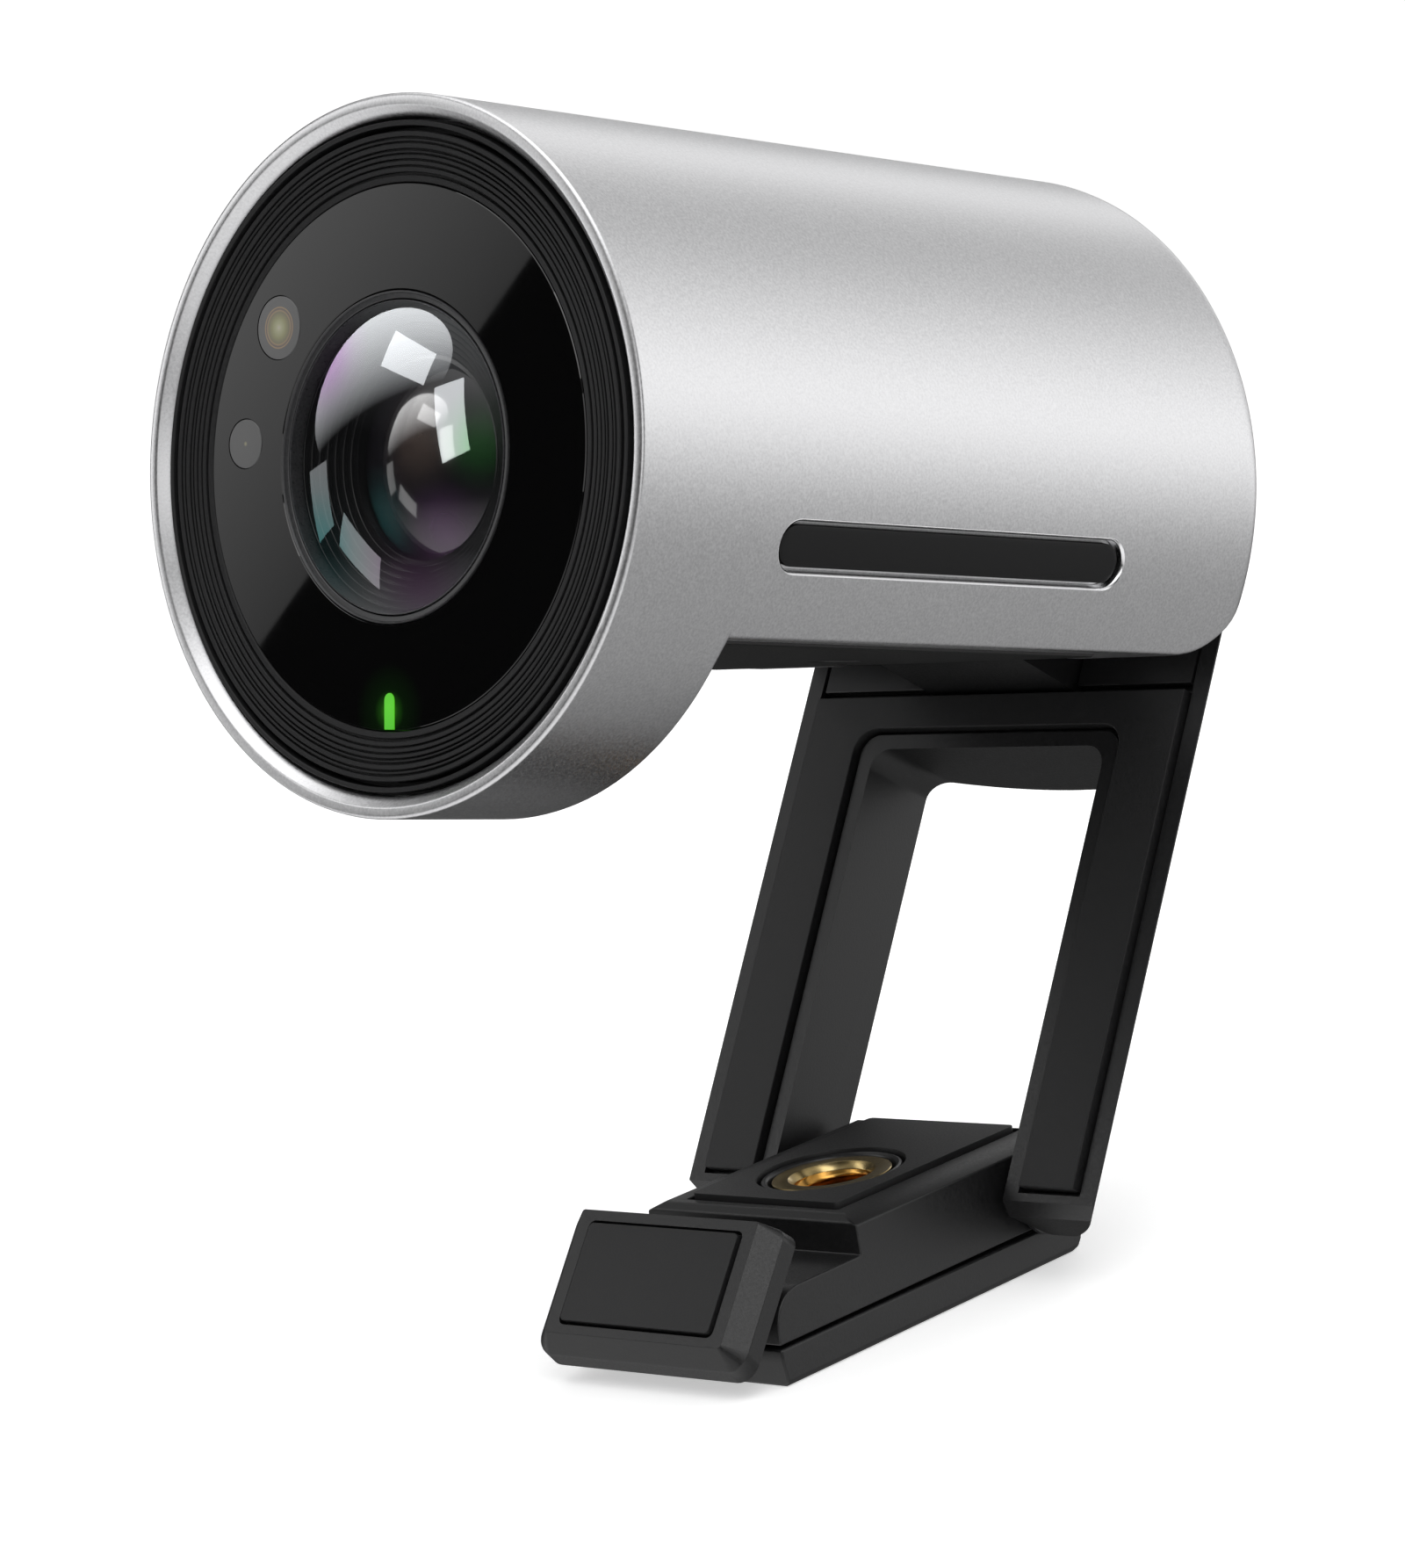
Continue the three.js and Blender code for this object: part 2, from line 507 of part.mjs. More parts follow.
// ---------- upper hinge ----------
const pinBore = alongX(
  disc(HINGE.boreR, -BRACKET.half - OVER, BRACKET.half + OVER, SMALL_ROUND), HINGE.y, HINGE.z,
);
const bracketBlock = prismX([
  [BRACKET.y0, BRACKET.z0], [HINGE.y, BRACKET.z0],
  ...arc(HINGE.y, HINGE.z, HINGE.z - BRACKET.z0, -Math.PI / 2, 0, 5),
  [BRACKET.y1, HINGE.z], [BRACKET.y1, BRACKET.z1], [BRACKET.y0, BRACKET.z1],
], -BRACKET.half, BRACKET.half);
const knuckleSlot = box(
  -BRACKET.slotHalf, BRACKET.slotHalf, BRACKET.slotY, HEAD.length + OVER, HEAD.cutZ - OVER, BRACKET.slotZ,
);
add('hinge_bracket', inHead(cut(bracketBlock, knuckleSlot, pinBore)), 'darkMetal');

const upperPin = alongX(disc(HINGE.pinR, -BRACKET.half, BRACKET.half, SMALL_ROUND), HINGE.y, HINGE.z);
add('head_hinge_pin', inHead(upperPin), 'steel');
for (const [label, side] of micSides) {
  const washer = tube(
    HINGE.boreR, WASHER.outerR, WASHER.x * side - WASHER.thick / 2, WASHER.x * side + WASHER.thick / 2,
    SMALL_ROUND,
  );
  add(`head_washer_${label}`, inHead(alongX(washer, HINGE.y, HINGE.z)), 'steel');
}

// ---------- frame ----------
const legPivot = footPointInFrame(PIVOT.s, PIVOT.n);
const segment = meet(
  disc(HEAD.r, FRAME.y0, FRAME.y1, ROUND),
  prismX([
    [FRAME.y0 + FRAME.edge, FRAME.faceZ], [FRAME.y0, FRAME.faceZ - FRAME.edge],
    [FRAME.y0, legPivot.z], ...arc(legPivot.y, legPivot.z, legPivot.y - FRAME.y0, Math.PI, 1.5 * Math.PI, 4),
    [legPivot.y + LEG_END.backRun, -HEAD.r - OVER], [FRAME.y1 - FRAME.rearBevel, -HEAD.r - OVER],
    [FRAME.y1, -HEAD.r + FRAME.rearBevel],
    [FRAME.y1, FRAME.faceZ - FRAME.edge], [FRAME.y1 - FRAME.edge, FRAME.faceZ],
  ], -FRAME.sideX, FRAME.sideX),
);
const windowCut = prismZ([
  [-FRAME.windowHalf, FRAME.y0 - OVER], [FRAME.windowHalf, FRAME.y0 - OVER],
  ...arc(FRAME.windowHalf - FRAME.windowCorner, FRAME.windowY - FRAME.windowCorner, FRAME.windowCorner, 0,
    Math.PI / 2, 4),
  ...arc(FRAME.windowCorner - FRAME.windowHalf, FRAME.windowY - FRAME.windowCorner, FRAME.windowCorner,
    Math.PI / 2, Math.PI, 4),
], FRAME.deepZ, FRAME.faceZ + OVER);
const flareCut = meet(
  prismY([
    [-FRAME.windowHalf, FRAME.flareZ], [FRAME.windowHalf, FRAME.flareZ], [FRAME.flareHalf, FRAME.deepZ],
    [-FRAME.flareHalf, FRAME.deepZ],
  ], FRAME.y0 - OVER, FRAME.flareY),
  prismX([
    [FRAME.y0 - OVER, FRAME.flareZ], [FRAME.windowY - FRAME.windowCorner, FRAME.flareZ],
    [FRAME.flareY - FRAME.windowCorner, FRAME.deepZ], [FRAME.y0 - OVER, FRAME.deepZ],
  ], -FRAME.flareHalf, FRAME.flareHalf),
);
const knuckle = prismX([
  [HINGE.y - HINGE.knuckleR, FRAME.faceZ - OVER], ...arc(HINGE.y, HINGE.z, HINGE.knuckleR, Math.PI, 0, 12),
  [HINGE.y + HINGE.knuckleR, FRAME.faceZ - OVER],
], -HINGE.knuckleHalf, HINGE.knuckleHalf);
const knuckleBore = alongX(
  disc(HINGE.boreR, -HINGE.knuckleHalf - OVER, HINGE.knuckleHalf + OVER, SMALL_ROUND), HINGE.y, HINGE.z,
);

// n-shaped outline of the frame's rubber pad, grown by the margin m.
function padOutline(m) {
  const inner = FRAME_PAD.innerHalf - m;
  const outer = FRAME_PAD.outerHalf + m;
  const top = FRAME_PAD.topInnerY - m;
  const r = FRAME_PAD.corner;
  return [
    [outer, FRAME_PAD.endY - m], [outer, FRAME_PAD.seamY + m], [-outer, FRAME_PAD.seamY + m],
    [-outer, FRAME_PAD.endY - m], [-inner, FRAME_PAD.endY - m],
    ...arc(r - inner, top - r, r, Math.PI, Math.PI / 2, 3),
    ...arc(inner - r, top - r, r, Math.PI / 2, 0, 3), [inner, FRAME_PAD.endY - m],
  ];
}

const padSeat = prismZ(padOutline(FRAME_PAD.groove), FRAME.faceZ - FRAME_PAD.depth, FRAME.faceZ + OVER);
const coverSeat = box(
  -HINGE_COVER.half - HINGE_COVER.groove, HINGE_COVER.half + HINGE_COVER.groove,
  HINGE_COVER.y0 - HINGE_COVER.groove, HINGE_COVER.y1 + HINGE_COVER.groove,
  FRAME.faceZ - HINGE_COVER.seat, FRAME.faceZ + OVER,
);
const lowerBores = micSides.map(([, side]) => alongX(
  disc(PIVOT.boreR, side > 0 ? FRAME.windowHalf - OVER : -PIVOT.boreOutX,
    side > 0 ? PIVOT.boreOutX : OVER - FRAME.windowHalf, SMALL_ROUND / 2),
  legPivot.y, legPivot.z,
));
const frameBlank = cut(segment, windowCut, flareCut, padSeat, coverSeat, ...lowerBores);
add('frame_body', inFrame(cut(join(frameBlank, knuckle), knuckleBore)), 'black');

const framePad = prismZ(padOutline(0), FRAME.faceZ - FRAME_PAD.depth + GAP, FRAME.faceZ + FRAME_PAD.proud);
add('frame_pad', inFrame(framePad), 'rubber');

for (const [label, side] of micSides) {
  const inner = HINGE.knuckleHalf + GAP;
  const coverPlate = box(
    side > 0 ? inner : -HINGE_COVER.half, side > 0 ? HINGE_COVER.half : -inner,
    HINGE_COVER.y0, HINGE_COVER.y1, FRAME.faceZ - HINGE_COVER.depth, FRAME.faceZ,
  );
  add(`frame_hinge_cover_${label}`, inFrame(coverPlate), 'black');
}

// ---------- foot ----------
const noseArc = arc(FOOT.noseS, FOOT.noseN, FOOT.noseR, Math.PI, Math.PI / 2, 5);
const housingSide = prismX([
  [FOOT.s0, FOOT.split], ...noseArc, [FOOT.wallS, FOOT.notchN], [FOOT.wallS, FOOT.wallN],
  [FOOT.wallTopS, FOOT.top], ...FOOT_REAR,
], -FOOT.half, FOOT.half);
const housingSection = prismY([
  [-FOOT.half, FOOT.split], [FOOT.half, FOOT.split], [FOOT.half, FOOT.chamferN], [FOOT.chamferX, FOOT.top],
  [-FOOT.chamferX, FOOT.top], [-FOOT.half, FOOT.chamferN],
], FOOT.s0, FOOT.s1);
const footPadSeat = box(
  -FOOT_PAD.half - FOOT_PAD.groove, FOOT_PAD.half + FOOT_PAD.groove, FOOT_PAD.s0 - FOOT_PAD.groove,
  FOOT_PAD.s1 + FOOT_PAD.groove, FOOT_PAD.bottom - GAP, OVER,
);
const flangeSeat = alongZ(disc(INSERT.seatR, INSERT.seatN, OVER, SMALL_ROUND), 0, INSERT.s);
const bodySeat = alongZ(disc(INSERT.bodySeatR, FOOT.split - OVER, OVER, SMALL_ROUND), 0, INSERT.s);
const knuckleBay = prismX([
  [CLIP_SLOT.s0, FOOT.split - OVER], [CLIP_SLOT.s1, FOOT.split - OVER], [CLIP_SLOT.s1, FOOT.notchN + OVER],
  [CLIP_SLOT.s0, FOOT.notchN + OVER],
], -CLIP_SLOT.half, CLIP_SLOT.half);
const pinSeat = prismX([
  [FOOT.noseS - CLIP_SLOT.pinSlotHalf, FOOT.split - OVER],
  [FOOT.noseS + CLIP_SLOT.pinSlotHalf, FOOT.split - OVER],
  ...arc(FOOT.noseS, FOOT.noseN, CLIP_SLOT.pinSlotHalf, 0, Math.PI, 6),
], -CLIP_SLOT.pinHalf, CLIP_SLOT.pinHalf);
const pivotBores = micSides.map(([, side]) => alongX(
  disc(
    PIVOT.boreR, side > 0 ? PIVOT.boreInX : -FOOT.half - OVER,
    side > 0 ? FOOT.half + OVER : -PIVOT.boreInX, SMALL_ROUND / 2,
  ), PIVOT.s, PIVOT.n,
));
const coverHoles = FOOT_SCREW.s.map((s) => alongZ(
  disc(FOOT_SCREW.shankR + GAP, COVER.bottom - OVER, FOOT_SCREW.top + GAP, SMALL_ROUND / 2), 0, s,
));
const housing = cut(
  meet(housingSide, housingSection), footPadSeat, flangeSeat, bodySeat, knuckleBay, pinSeat, ...pivotBores,
  ...coverHoles,
);
add('foot_housing', inFoot(housing), 'black');

const coverSide = prismX([
  [FOOT.s0, COVER.top], [FOOT.s0, COVER.top - OVER], [COVER.frontS, COVER.bottom],
  [COVER.rearS, COVER.bottom], [FOOT.s1 - COVER.edge, COVER.rearN],
  [FOOT.s1, COVER.rearTopN], [FOOT.s1, COVER.top],
], -FOOT.half, FOOT.half);
const coverSection = prismY([
  [-FOOT.half, COVER.top], [-FOOT.half, COVER.bottom + COVER.edge], [COVER.edge - FOOT.half, COVER.bottom],
  [FOOT.half - COVER.edge, COVER.bottom], [FOOT.half, COVER.bottom + COVER.edge], [FOOT.half, COVER.top],
], FOOT.s0 - OVER, FOOT.s1 + OVER);
const knuckleWell = box(
  -CLIP_SLOT.half, CLIP_SLOT.half, CLIP_SLOT.s0, CLIP_SLOT.s1, CLIP_SLOT.n0, COVER.top + OVER,
);
const screwSeats = FOOT_SCREW.s.map((s) => alongZ(
  disc(
    FOOT_SCREW.headR + GAP, COVER.bottom - OVER, FOOT_SCREW.headTop + FOOT_SCREW.seat, SMALL_ROUND / 2,
  ), 0, s,
));
const footCover = cut(meet(coverSide, coverSection), knuckleWell, ...coverHoles, ...screwSeats);
add('foot_cover', inFoot(footCover), 'black');

FOOT_SCREW.s.forEach((s, index) => {
  const screw = turned([
    [0, FOOT_SCREW.headBottom], [FOOT_SCREW.headR, FOOT_SCREW.headBottom],
    [FOOT_SCREW.headR, FOOT_SCREW.headTop], [FOOT_SCREW.shankR, FOOT_SCREW.headTop],
    [FOOT_SCREW.shankR, FOOT_SCREW.top], [0, FOOT_SCREW.top],
  ], SMALL_ROUND / 2);
  add(`foot_screw_${screwNames[index]}`, inFoot(alongZ(screw, 0, s)), 'steel');
});

const footPad = cut(
  prismZ(roundedRect(-FOOT_PAD.half, FOOT_PAD.half, FOOT_PAD.s0, FOOT_PAD.s1, FOOT_PAD.corner, 2),
    FOOT_PAD.bottom, FOOT_PAD.top),
  alongZ(disc(FOOT_PAD.holeR, FOOT_PAD.bottom - OVER, OVER, SMALL_ROUND * 2), 0, INSERT.s),
);
add('foot_pad', inFoot(footPad), 'rubber');
add('insert_collar', inFoot(alongZ(
  tube(COLLAR.innerR, COLLAR.outerR, COLLAR.bottom, COLLAR.top, SMALL_ROUND * 2), 0, INSERT.s,
)), 'black');
const nut = turned([
  [INSERT.holeR, INSERT.bottom], [INSERT.bodyR, INSERT.bottom], [INSERT.bodyR, INSERT.flangeN],
  [INSERT.flangeR, INSERT.flangeN], [INSERT.flangeR, INSERT.top], [INSERT.chamferR, INSERT.top],
  [INSERT.holeR, INSERT.chamferN],
], SMALL_ROUND * 2);
add('tripod_insert', inFoot(alongZ(nut, 0, INSERT.s)), 'brass');

for (const [label, side] of micSides) {
  const pin = disc(
    PIVOT.pinR, side > 0 ? PIVOT.pinInX : -PIVOT.pinOutX, side > 0 ? PIVOT.pinOutX : -PIVOT.pinInX,
    SMALL_ROUND / 2,
  );
  add(`foot_hinge_pin_${label}`, inFoot(alongX(pin, PIVOT.s, PIVOT.n)), 'steel');
  const hub = tube(
    PIVOT.boreR, HUB.outerR, side > 0 ? HUB.x0 : -HUB.x1, side > 0 ? HUB.x1 : -HUB.x0, SMALL_ROUND,
  );
  add(`foot_washer_${label}`, inFoot(alongX(hub, PIVOT.s, PIVOT.n)), 'darkMetal');
}

// ---------- clip plate ----------
const plateAcross = prismY([
  [-CLIP.faceHalf, 0], [CLIP.faceHalf, 0], [CLIP.half, CLIP.bevelW], [CLIP.half, CLIP.back],
  [-CLIP.half, CLIP.back], [-CLIP.half, CLIP.bevelW],
], CLIP.bottom - OVER, CLIP.top + OVER);
const plateDown = prismX([
  [CLIP.top, CLIP.back], [CLIP.top, -CLIP.topEdge], [CLIP.top - CLIP.topEdge, 0], [CLIP.faceBottom, 0],
  [CLIP.midBottom, CLIP.midW], [CLIP.bottom, CLIP.back],
], -CLIP.half - OVER, CLIP.half + OVER);
const arm = join(
  prismX([
    [CLIP.pinU - CLIP.armR, CLIP.back + OVER], [CLIP.pinU - CLIP.armR, CLIP.pinW],
    [CLIP.pinU + CLIP.armR, CLIP.pinW], [CLIP.pinU + CLIP.armR, CLIP.back + OVER],
  ], -CLIP.armHalf, CLIP.armHalf),
  alongX(disc(CLIP.armR, -CLIP.armHalf, CLIP.armHalf, SMALL_ROUND), CLIP.pinU, CLIP.pinW),
);
const clipPadSeat = box(
  -CLIP_PAD.half - CLIP_PAD.groove, CLIP_PAD.half + CLIP_PAD.groove, CLIP_PAD.u0 - CLIP_PAD.groove,
  CLIP_PAD.u1 + CLIP_PAD.groove, CLIP_PAD.bottom - GAP, OVER,
);
const clipBore = alongX(
  disc(CLIP.boreR, -CLIP.armHalf - OVER, CLIP.armHalf + OVER, SMALL_ROUND / 2), CLIP.pinU, CLIP.pinW,
);
add('clip_plate', inClip(cut(join(meet(plateAcross, plateDown), arm), clipPadSeat, clipBore)), 'black');
add('clip_pad', inClip(prismZ(
  roundedRect(-CLIP_PAD.half, CLIP_PAD.half, CLIP_PAD.u0, CLIP_PAD.u1, CLIP_PAD.corner, 2),
  CLIP_PAD.bottom, CLIP_PAD.top,
)), 'rubber');
add('clip_pin', inClip(alongX(
  disc(CLIP.pinR, -CLIP.pinHalf, CLIP.pinHalf, SMALL_ROUND / 2), CLIP.pinU, CLIP.pinW,
)), 'steel');

export default webcam;
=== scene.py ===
"""Looks of the folding clip webcam: shell, front stack, stand, foot, clip plate, lights and camera."""
import json
import math
import bmesh
import bpy
from mathutils import Matrix, Vector


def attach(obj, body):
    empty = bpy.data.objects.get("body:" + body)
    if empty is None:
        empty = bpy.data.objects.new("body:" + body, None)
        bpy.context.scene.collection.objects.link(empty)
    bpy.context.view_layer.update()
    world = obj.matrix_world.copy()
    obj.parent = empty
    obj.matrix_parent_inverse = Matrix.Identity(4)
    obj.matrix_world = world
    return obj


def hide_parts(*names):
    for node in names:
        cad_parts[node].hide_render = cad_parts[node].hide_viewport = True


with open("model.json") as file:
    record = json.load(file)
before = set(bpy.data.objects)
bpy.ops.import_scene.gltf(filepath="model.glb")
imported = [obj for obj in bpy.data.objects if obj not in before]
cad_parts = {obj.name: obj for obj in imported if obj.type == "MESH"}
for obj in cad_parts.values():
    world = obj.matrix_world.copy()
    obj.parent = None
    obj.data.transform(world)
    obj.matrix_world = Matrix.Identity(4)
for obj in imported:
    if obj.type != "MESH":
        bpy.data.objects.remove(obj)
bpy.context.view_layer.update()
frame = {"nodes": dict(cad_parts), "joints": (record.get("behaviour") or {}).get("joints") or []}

# ---------------------------------------------------------------- placing
MM = 0.001
TILT = math.radians(-13.22)
SWING = math.radians(69.87)
CLIP_ANGLE = math.radians(51.57)
HINGE = Vector((0, 61.6, -6.9))
PIVOT = Vector((0, 19.3, -4.7))
CLIP_ORIGIN = Vector((0, -10.7, 0.77))
NUT_Y = 7.84
SIDES = (("right", 1), ("left", -1))
JOINT = {j["name"]: Vector(j["pos_m"]) for j in frame["joints"]}
SCALE = Matrix.Scale(MM, 4)


def at(point):
    return Matrix.Translation(point)


def about_x(angle):
    return Matrix.Rotation(angle, 4, "X")


# Local millimetres to the row frame: head, folded frame swung open, foot, clip plate.
HEAD = at(JOINT["head_hinge"]) @ about_x(TILT) @ SCALE @ at(-HINGE)
FRAME = at(JOINT["head_hinge"]) @ about_x(TILT + SWING) @ SCALE @ at(-HINGE)
FOOT = at(JOINT["foot_hinge"]) @ SCALE @ at(-PIVOT)
CLIP = FOOT @ at(CLIP_ORIGIN) @ about_x(CLIP_ANGLE)
PLACE = {"head": HEAD, "frame": FRAME, "foot": FOOT, "clip": CLIP}
LEG_PIVOT = FRAME.inverted() @ JOINT["foot_hinge"]
CLIP_PIN = CLIP.inverted() @ JOINT["clip_hinge"]


# ---------------------------------------------------------------- mesh helpers
def work(verts, faces):
    mesh = bpy.data.meshes.new("work")
    mesh.from_pydata([tuple(v) for v in verts], [], faces)
    mesh.validate()
    ob = bpy.data.objects.new("work", mesh)
    bpy.context.scene.collection.objects.link(ob)
    return tidy(ob, 1e-5)


def tidy(ob, dist=1e-4, dissolve=False):
    bm = bmesh.new()
    bm.from_mesh(ob.data)
    bmesh.ops.remove_doubles(bm, verts=bm.verts, dist=dist)
    bmesh.ops.dissolve_degenerate(bm, edges=bm.edges, dist=dist)
    if dissolve:
        bmesh.ops.dissolve_limit(bm, angle_limit=math.radians(0.4), verts=bm.verts, edges=bm.edges)
    bmesh.ops.recalc_face_normals(bm, faces=bm.faces)
    bm.to_mesh(ob.data)
    bm.free()
    return ob


def settle(ob):
    graph = bpy.context.evaluated_depsgraph_get()
    mesh = bpy.data.meshes.new_from_object(ob.evaluated_get(graph))
    ob.modifiers.clear()
    old, ob.data = ob.data, mesh
    bpy.data.meshes.remove(old)
    return ob


def boolean(ob, operation, *others):
    for other in others:
        m = ob.modifiers.new("b", "BOOLEAN")
        m.operation, m.solver, m.object = operation, "EXACT", other
        settle(ob)
        bpy.data.objects.remove(other)
    return tidy(ob)


def cut(ob, *others):
    return boolean(ob, "DIFFERENCE", *others)


def meet(ob, *others):
    return boolean(ob, "INTERSECT", *others)


def join(ob, *others):
    return boolean(ob, "UNION", *others)


def soften(ob, width, segments=2, angle=28):
    tidy(ob, 1e-3, True)
    m = ob.modifiers.new("s", "BEVEL")
    m.limit_method, m.angle_limit = "ANGLE", math.radians(angle)
    m.width, m.segments, m.use_clamp_overlap = width, segments, True
    m.miter_outer = "MITER_ARC"
    return settle(ob)


def loft(rings, close=True, back=True):
    n = len(rings[0])
    verts = [p for ring in rings for p in ring]
    faces = []
    for k in range(len(rings) - 1):
        for i in range(n):
            j = (i + 1) % n
            faces.append((k * n + i, k * n + j, (k + 1) * n + j, (k + 1) * n + i))
    if close:
        faces.append(tuple(range(n)))
        if back:
            faces.append(tuple((len(rings) - 1) * n + i for i in range(n)))
    return work(verts, faces)


def circle(r, y, segments, cx=0.0, cz=0.0):
    turns = [2 * math.pi * i / segments for i in range(segments)]
    return [(cx + r * math.cos(a), y, cz + r * math.sin(a)) for a in turns]


def lathe(profile, segments=160, hole=False, cx=0.0, cz=0.0, back=True):
    """Profile of (radius, y) turned round the local Y axis. hole makes it a closed ring, with no end caps."""
    rings = [circle(r, y, segments, cx, cz) for r, y in profile]
    return loft(rings + rings[:1], False) if hole else loft(rings, back=back)


def standing(ob, x=0.0, s=0.0):
    """Turns a lathe made along Y so that its Y runs up the local Z, at (x, s)."""
    ob.data.transform(Matrix.Translation((x, s, 0)) @ Matrix.Rotation(math.pi / 2, 4, "X"))
    return tidy(ob, 1e-5)


def lying(ob, y, z):
    """Turns a lathe made along Y so that it runs along X through (y, z)."""
    ob.data.transform(Matrix.Translation((0, y, z)) @ Matrix.Rotation(-math.pi / 2, 4, "Z"))
    return tidy(ob, 1e-5)


def prism(points, axis, a, b):
    """Outline drawn out along an axis: (y, z) for X, (x, z) for Y and (x, y) for Z."""
    order = {"X": lambda p, h: (h, p[0], p[1]), "Y": lambda p, h: (p[0], h, p[1]),
             "Z": lambda p, h: (p[0], p[1], h)}
    return loft([[order[axis](p, h) for p in points] for h in (a, b)])


def block(x0, x1, y0, y1, z0, z1):
    return prism([(x0, y0), (x1, y0), (x1, y1), (x0, y1)], "Z", z0, z1)


def arc(cy, cz, r, start, end, steps):
    return [(cy + r * math.cos(math.radians(start + (end - start) * i / steps)),
             cz + r * math.sin(math.radians(start + (end - start) * i / steps))) for i in range(steps + 1)]


def rounded(x0, x1, y0, y1, r, steps=6, r_low=None):
    low = r if r_low is None else r_low
    return (arc(x1 - r, y1 - r, r, 0, 90, steps) + arc(x0 + r, y1 - r, r, 90, 180, steps)
            + arc(x0 + low, y0 + low, low, 180, 270, steps) + arc(x1 - low, y0 + low, low, 270, 360, steps))


def piece(name, ob, body, material, slot, *nodes, angle=32, weighted=True):
    """Names the piece, puts it in the row frame, smooths it and lets it ride on its body."""
    ob.name = name
    ob.data.name = name
    ob.data.transform(PLACE[body])
    ob.data.materials.clear()
    ob.data.materials.append(material)
    for polygon in ob.data.polygons:
        polygon.use_smooth = True
        polygon.material_index = 0
    ob.data.set_sharp_from_angle(angle=math.radians(angle))
    if weighted:
        m = ob.modifiers.new("w", "WEIGHTED_NORMAL")
        m.keep_sharp, m.weight = True, 60
        settle(ob)
        ob.data.name = name
    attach(ob, body)
    if nodes:
        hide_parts(*nodes)
    return ob


# ---------------------------------------------------------------- materials
def material(name, colour, rough, metal=0.0, **sockets):
    m = bpy.data.materials.new(name)
    m.use_nodes = True
    bsdf = m.node_tree.nodes["Principled BSDF"]
    bsdf.inputs["Base Color"].default_value = (*colour, 1)
    bsdf.inputs["Roughness"].default_value = rough
    bsdf.inputs["Metallic"].default_value = metal
    for key, value in sockets.items():
        bsdf.inputs[key.replace("_", " ")].default_value = value
    return m


def node(m, kind, **values):
    n = m.node_tree.nodes.new(kind)
    for key, value in values.items():
        if key in n.inputs:
            n.inputs[key].default_value = value
        else:
            setattr(n, key, value)
    return n


def wire(m, source, target):
    m.node_tree.links.new(source, target)


def place_of(m):
    return node(m, "ShaderNodeTexCoord").outputs["Object"]


def shader(m):
    return m.node_tree.nodes["Principled BSDF"]


def mottle(m, scale, detail=2.0, **values):
    """Noise in the object's own space."""
    noise = node(m, "ShaderNodeTexNoise", Scale=scale, Detail=detail, **values)
    wire(m, place_of(m), noise.inputs["Vector"])
    return noise.outputs["Fac"]


def emboss(m, height, height_um):
    bump = node(m, "ShaderNodeBump", Strength=1.0, Distance=height_um * 1e-6)
    wire(m, height, bump.inputs["Height"])
    wire(m, bump.outputs["Normal"], shader(m).inputs["Normal"])


def spread_over(m, value, target, low, high, **values):
    spread = node(m, "ShaderNodeMapRange", **{"To Min": low, "To Max": high, **values})
    wire(m, value, spread.inputs["Value"])
    wire(m, spread.outputs["Result"], target)


def colour_ramp(m, value, stops):
    ramp = node(m, "ShaderNodeValToRGB")
    elements = ramp.color_ramp.elements
    while len(elements) < len(stops):
        elements.new(0.5)
    for element, (position, colour) in zip(elements, stops):
        element.position = position
        element.color = (*colour, 1)
    wire(m, value, ramp.inputs["Fac"])
    return ramp.outputs["Color"]


def ramp_over(m, value, low, high, stops):
    """Colours by the share of the way that a value has gone from low to high."""
    spread = node(m, "ShaderNodeMapRange", **{"From Min": low, "From Max": high})
    wire(m, value, spread.inputs["Value"])
    return colour_ramp(m, spread.outputs["Result"], stops)


def length_of(m, first, second):
    """Length of the vector with these two coordinates, and the vector."""
    flat = node(m, "ShaderNodeCombineXYZ")
    wire(m, first, flat.inputs["X"])
    wire(m, second, flat.inputs["Y"])
    length = node(m, "ShaderNodeVectorMath", operation="LENGTH")
    wire(m, flat.outputs["Vector"], length.inputs[0])
    return length.outputs["Value"], flat.outputs["Vector"]


def grain(m, size_mm, height_um, rough, tone, detail=2.0):
    """Fine surface grain: bump, a slight spread of roughness and of tone. Sizes are real."""
    noise = mottle(m, 1000.0 / size_mm, detail, Roughness=0.55)
    emboss(m, noise, height_um)
    spread_over(m, noise, shader(m).inputs["Roughness"], *rough, **{"From Min": 0.3, "From Max": 0.7})
    wire(m, colour_ramp(m, noise, ((0.3, tone[0]), (0.7, tone[1]))), shader(m).inputs["Base Color"])
    return m


SILVER = grain(material("silver_blasted", (0.78, 0.78, 0.79), 0.36, 1.0), 0.2, 3.0, (0.32, 0.41),
               ((0.66, 0.66, 0.67), (0.82, 0.82, 0.83)))
BRIGHT = grain(material("silver_cut_edge", (0.86, 0.86, 0.87), 0.2, 1.0), 0.3, 0.5, (0.17, 0.25),
               ((0.84, 0.84, 0.85), (0.90, 0.90, 0.91)))
BLACK = grain(material("black_grained_plastic", (0.01, 0.01, 0.0105), 0.4), 0.2, 6.0, (0.34, 0.46),
              ((0.0055, 0.0055, 0.0058), (0.0105, 0.0105, 0.011)))
SMOOTH_BLACK = grain(material("black_satin_plastic", (0.015, 0.015, 0.016), 0.36), 0.3, 1.5, (0.32, 0.42),
                     ((0.012, 0.012, 0.013), (0.020, 0.020, 0.021)))
RING_BLACK = grain(material("black_ring_plastic", (0.02, 0.02, 0.021), 0.5, Specular_IOR_Level=0.2), 0.25,
                   1.5, (0.44, 0.56), ((0.009, 0.009, 0.0095), (0.014, 0.014, 0.0145)))
RUBBER = grain(material("rubber_grained", (0.01, 0.01, 0.0105), 0.55), 0.16, 9.0, (0.46, 0.6),
               ((0.006, 0.006, 0.0065), (0.0125, 0.0125, 0.013)), detail=4.0)
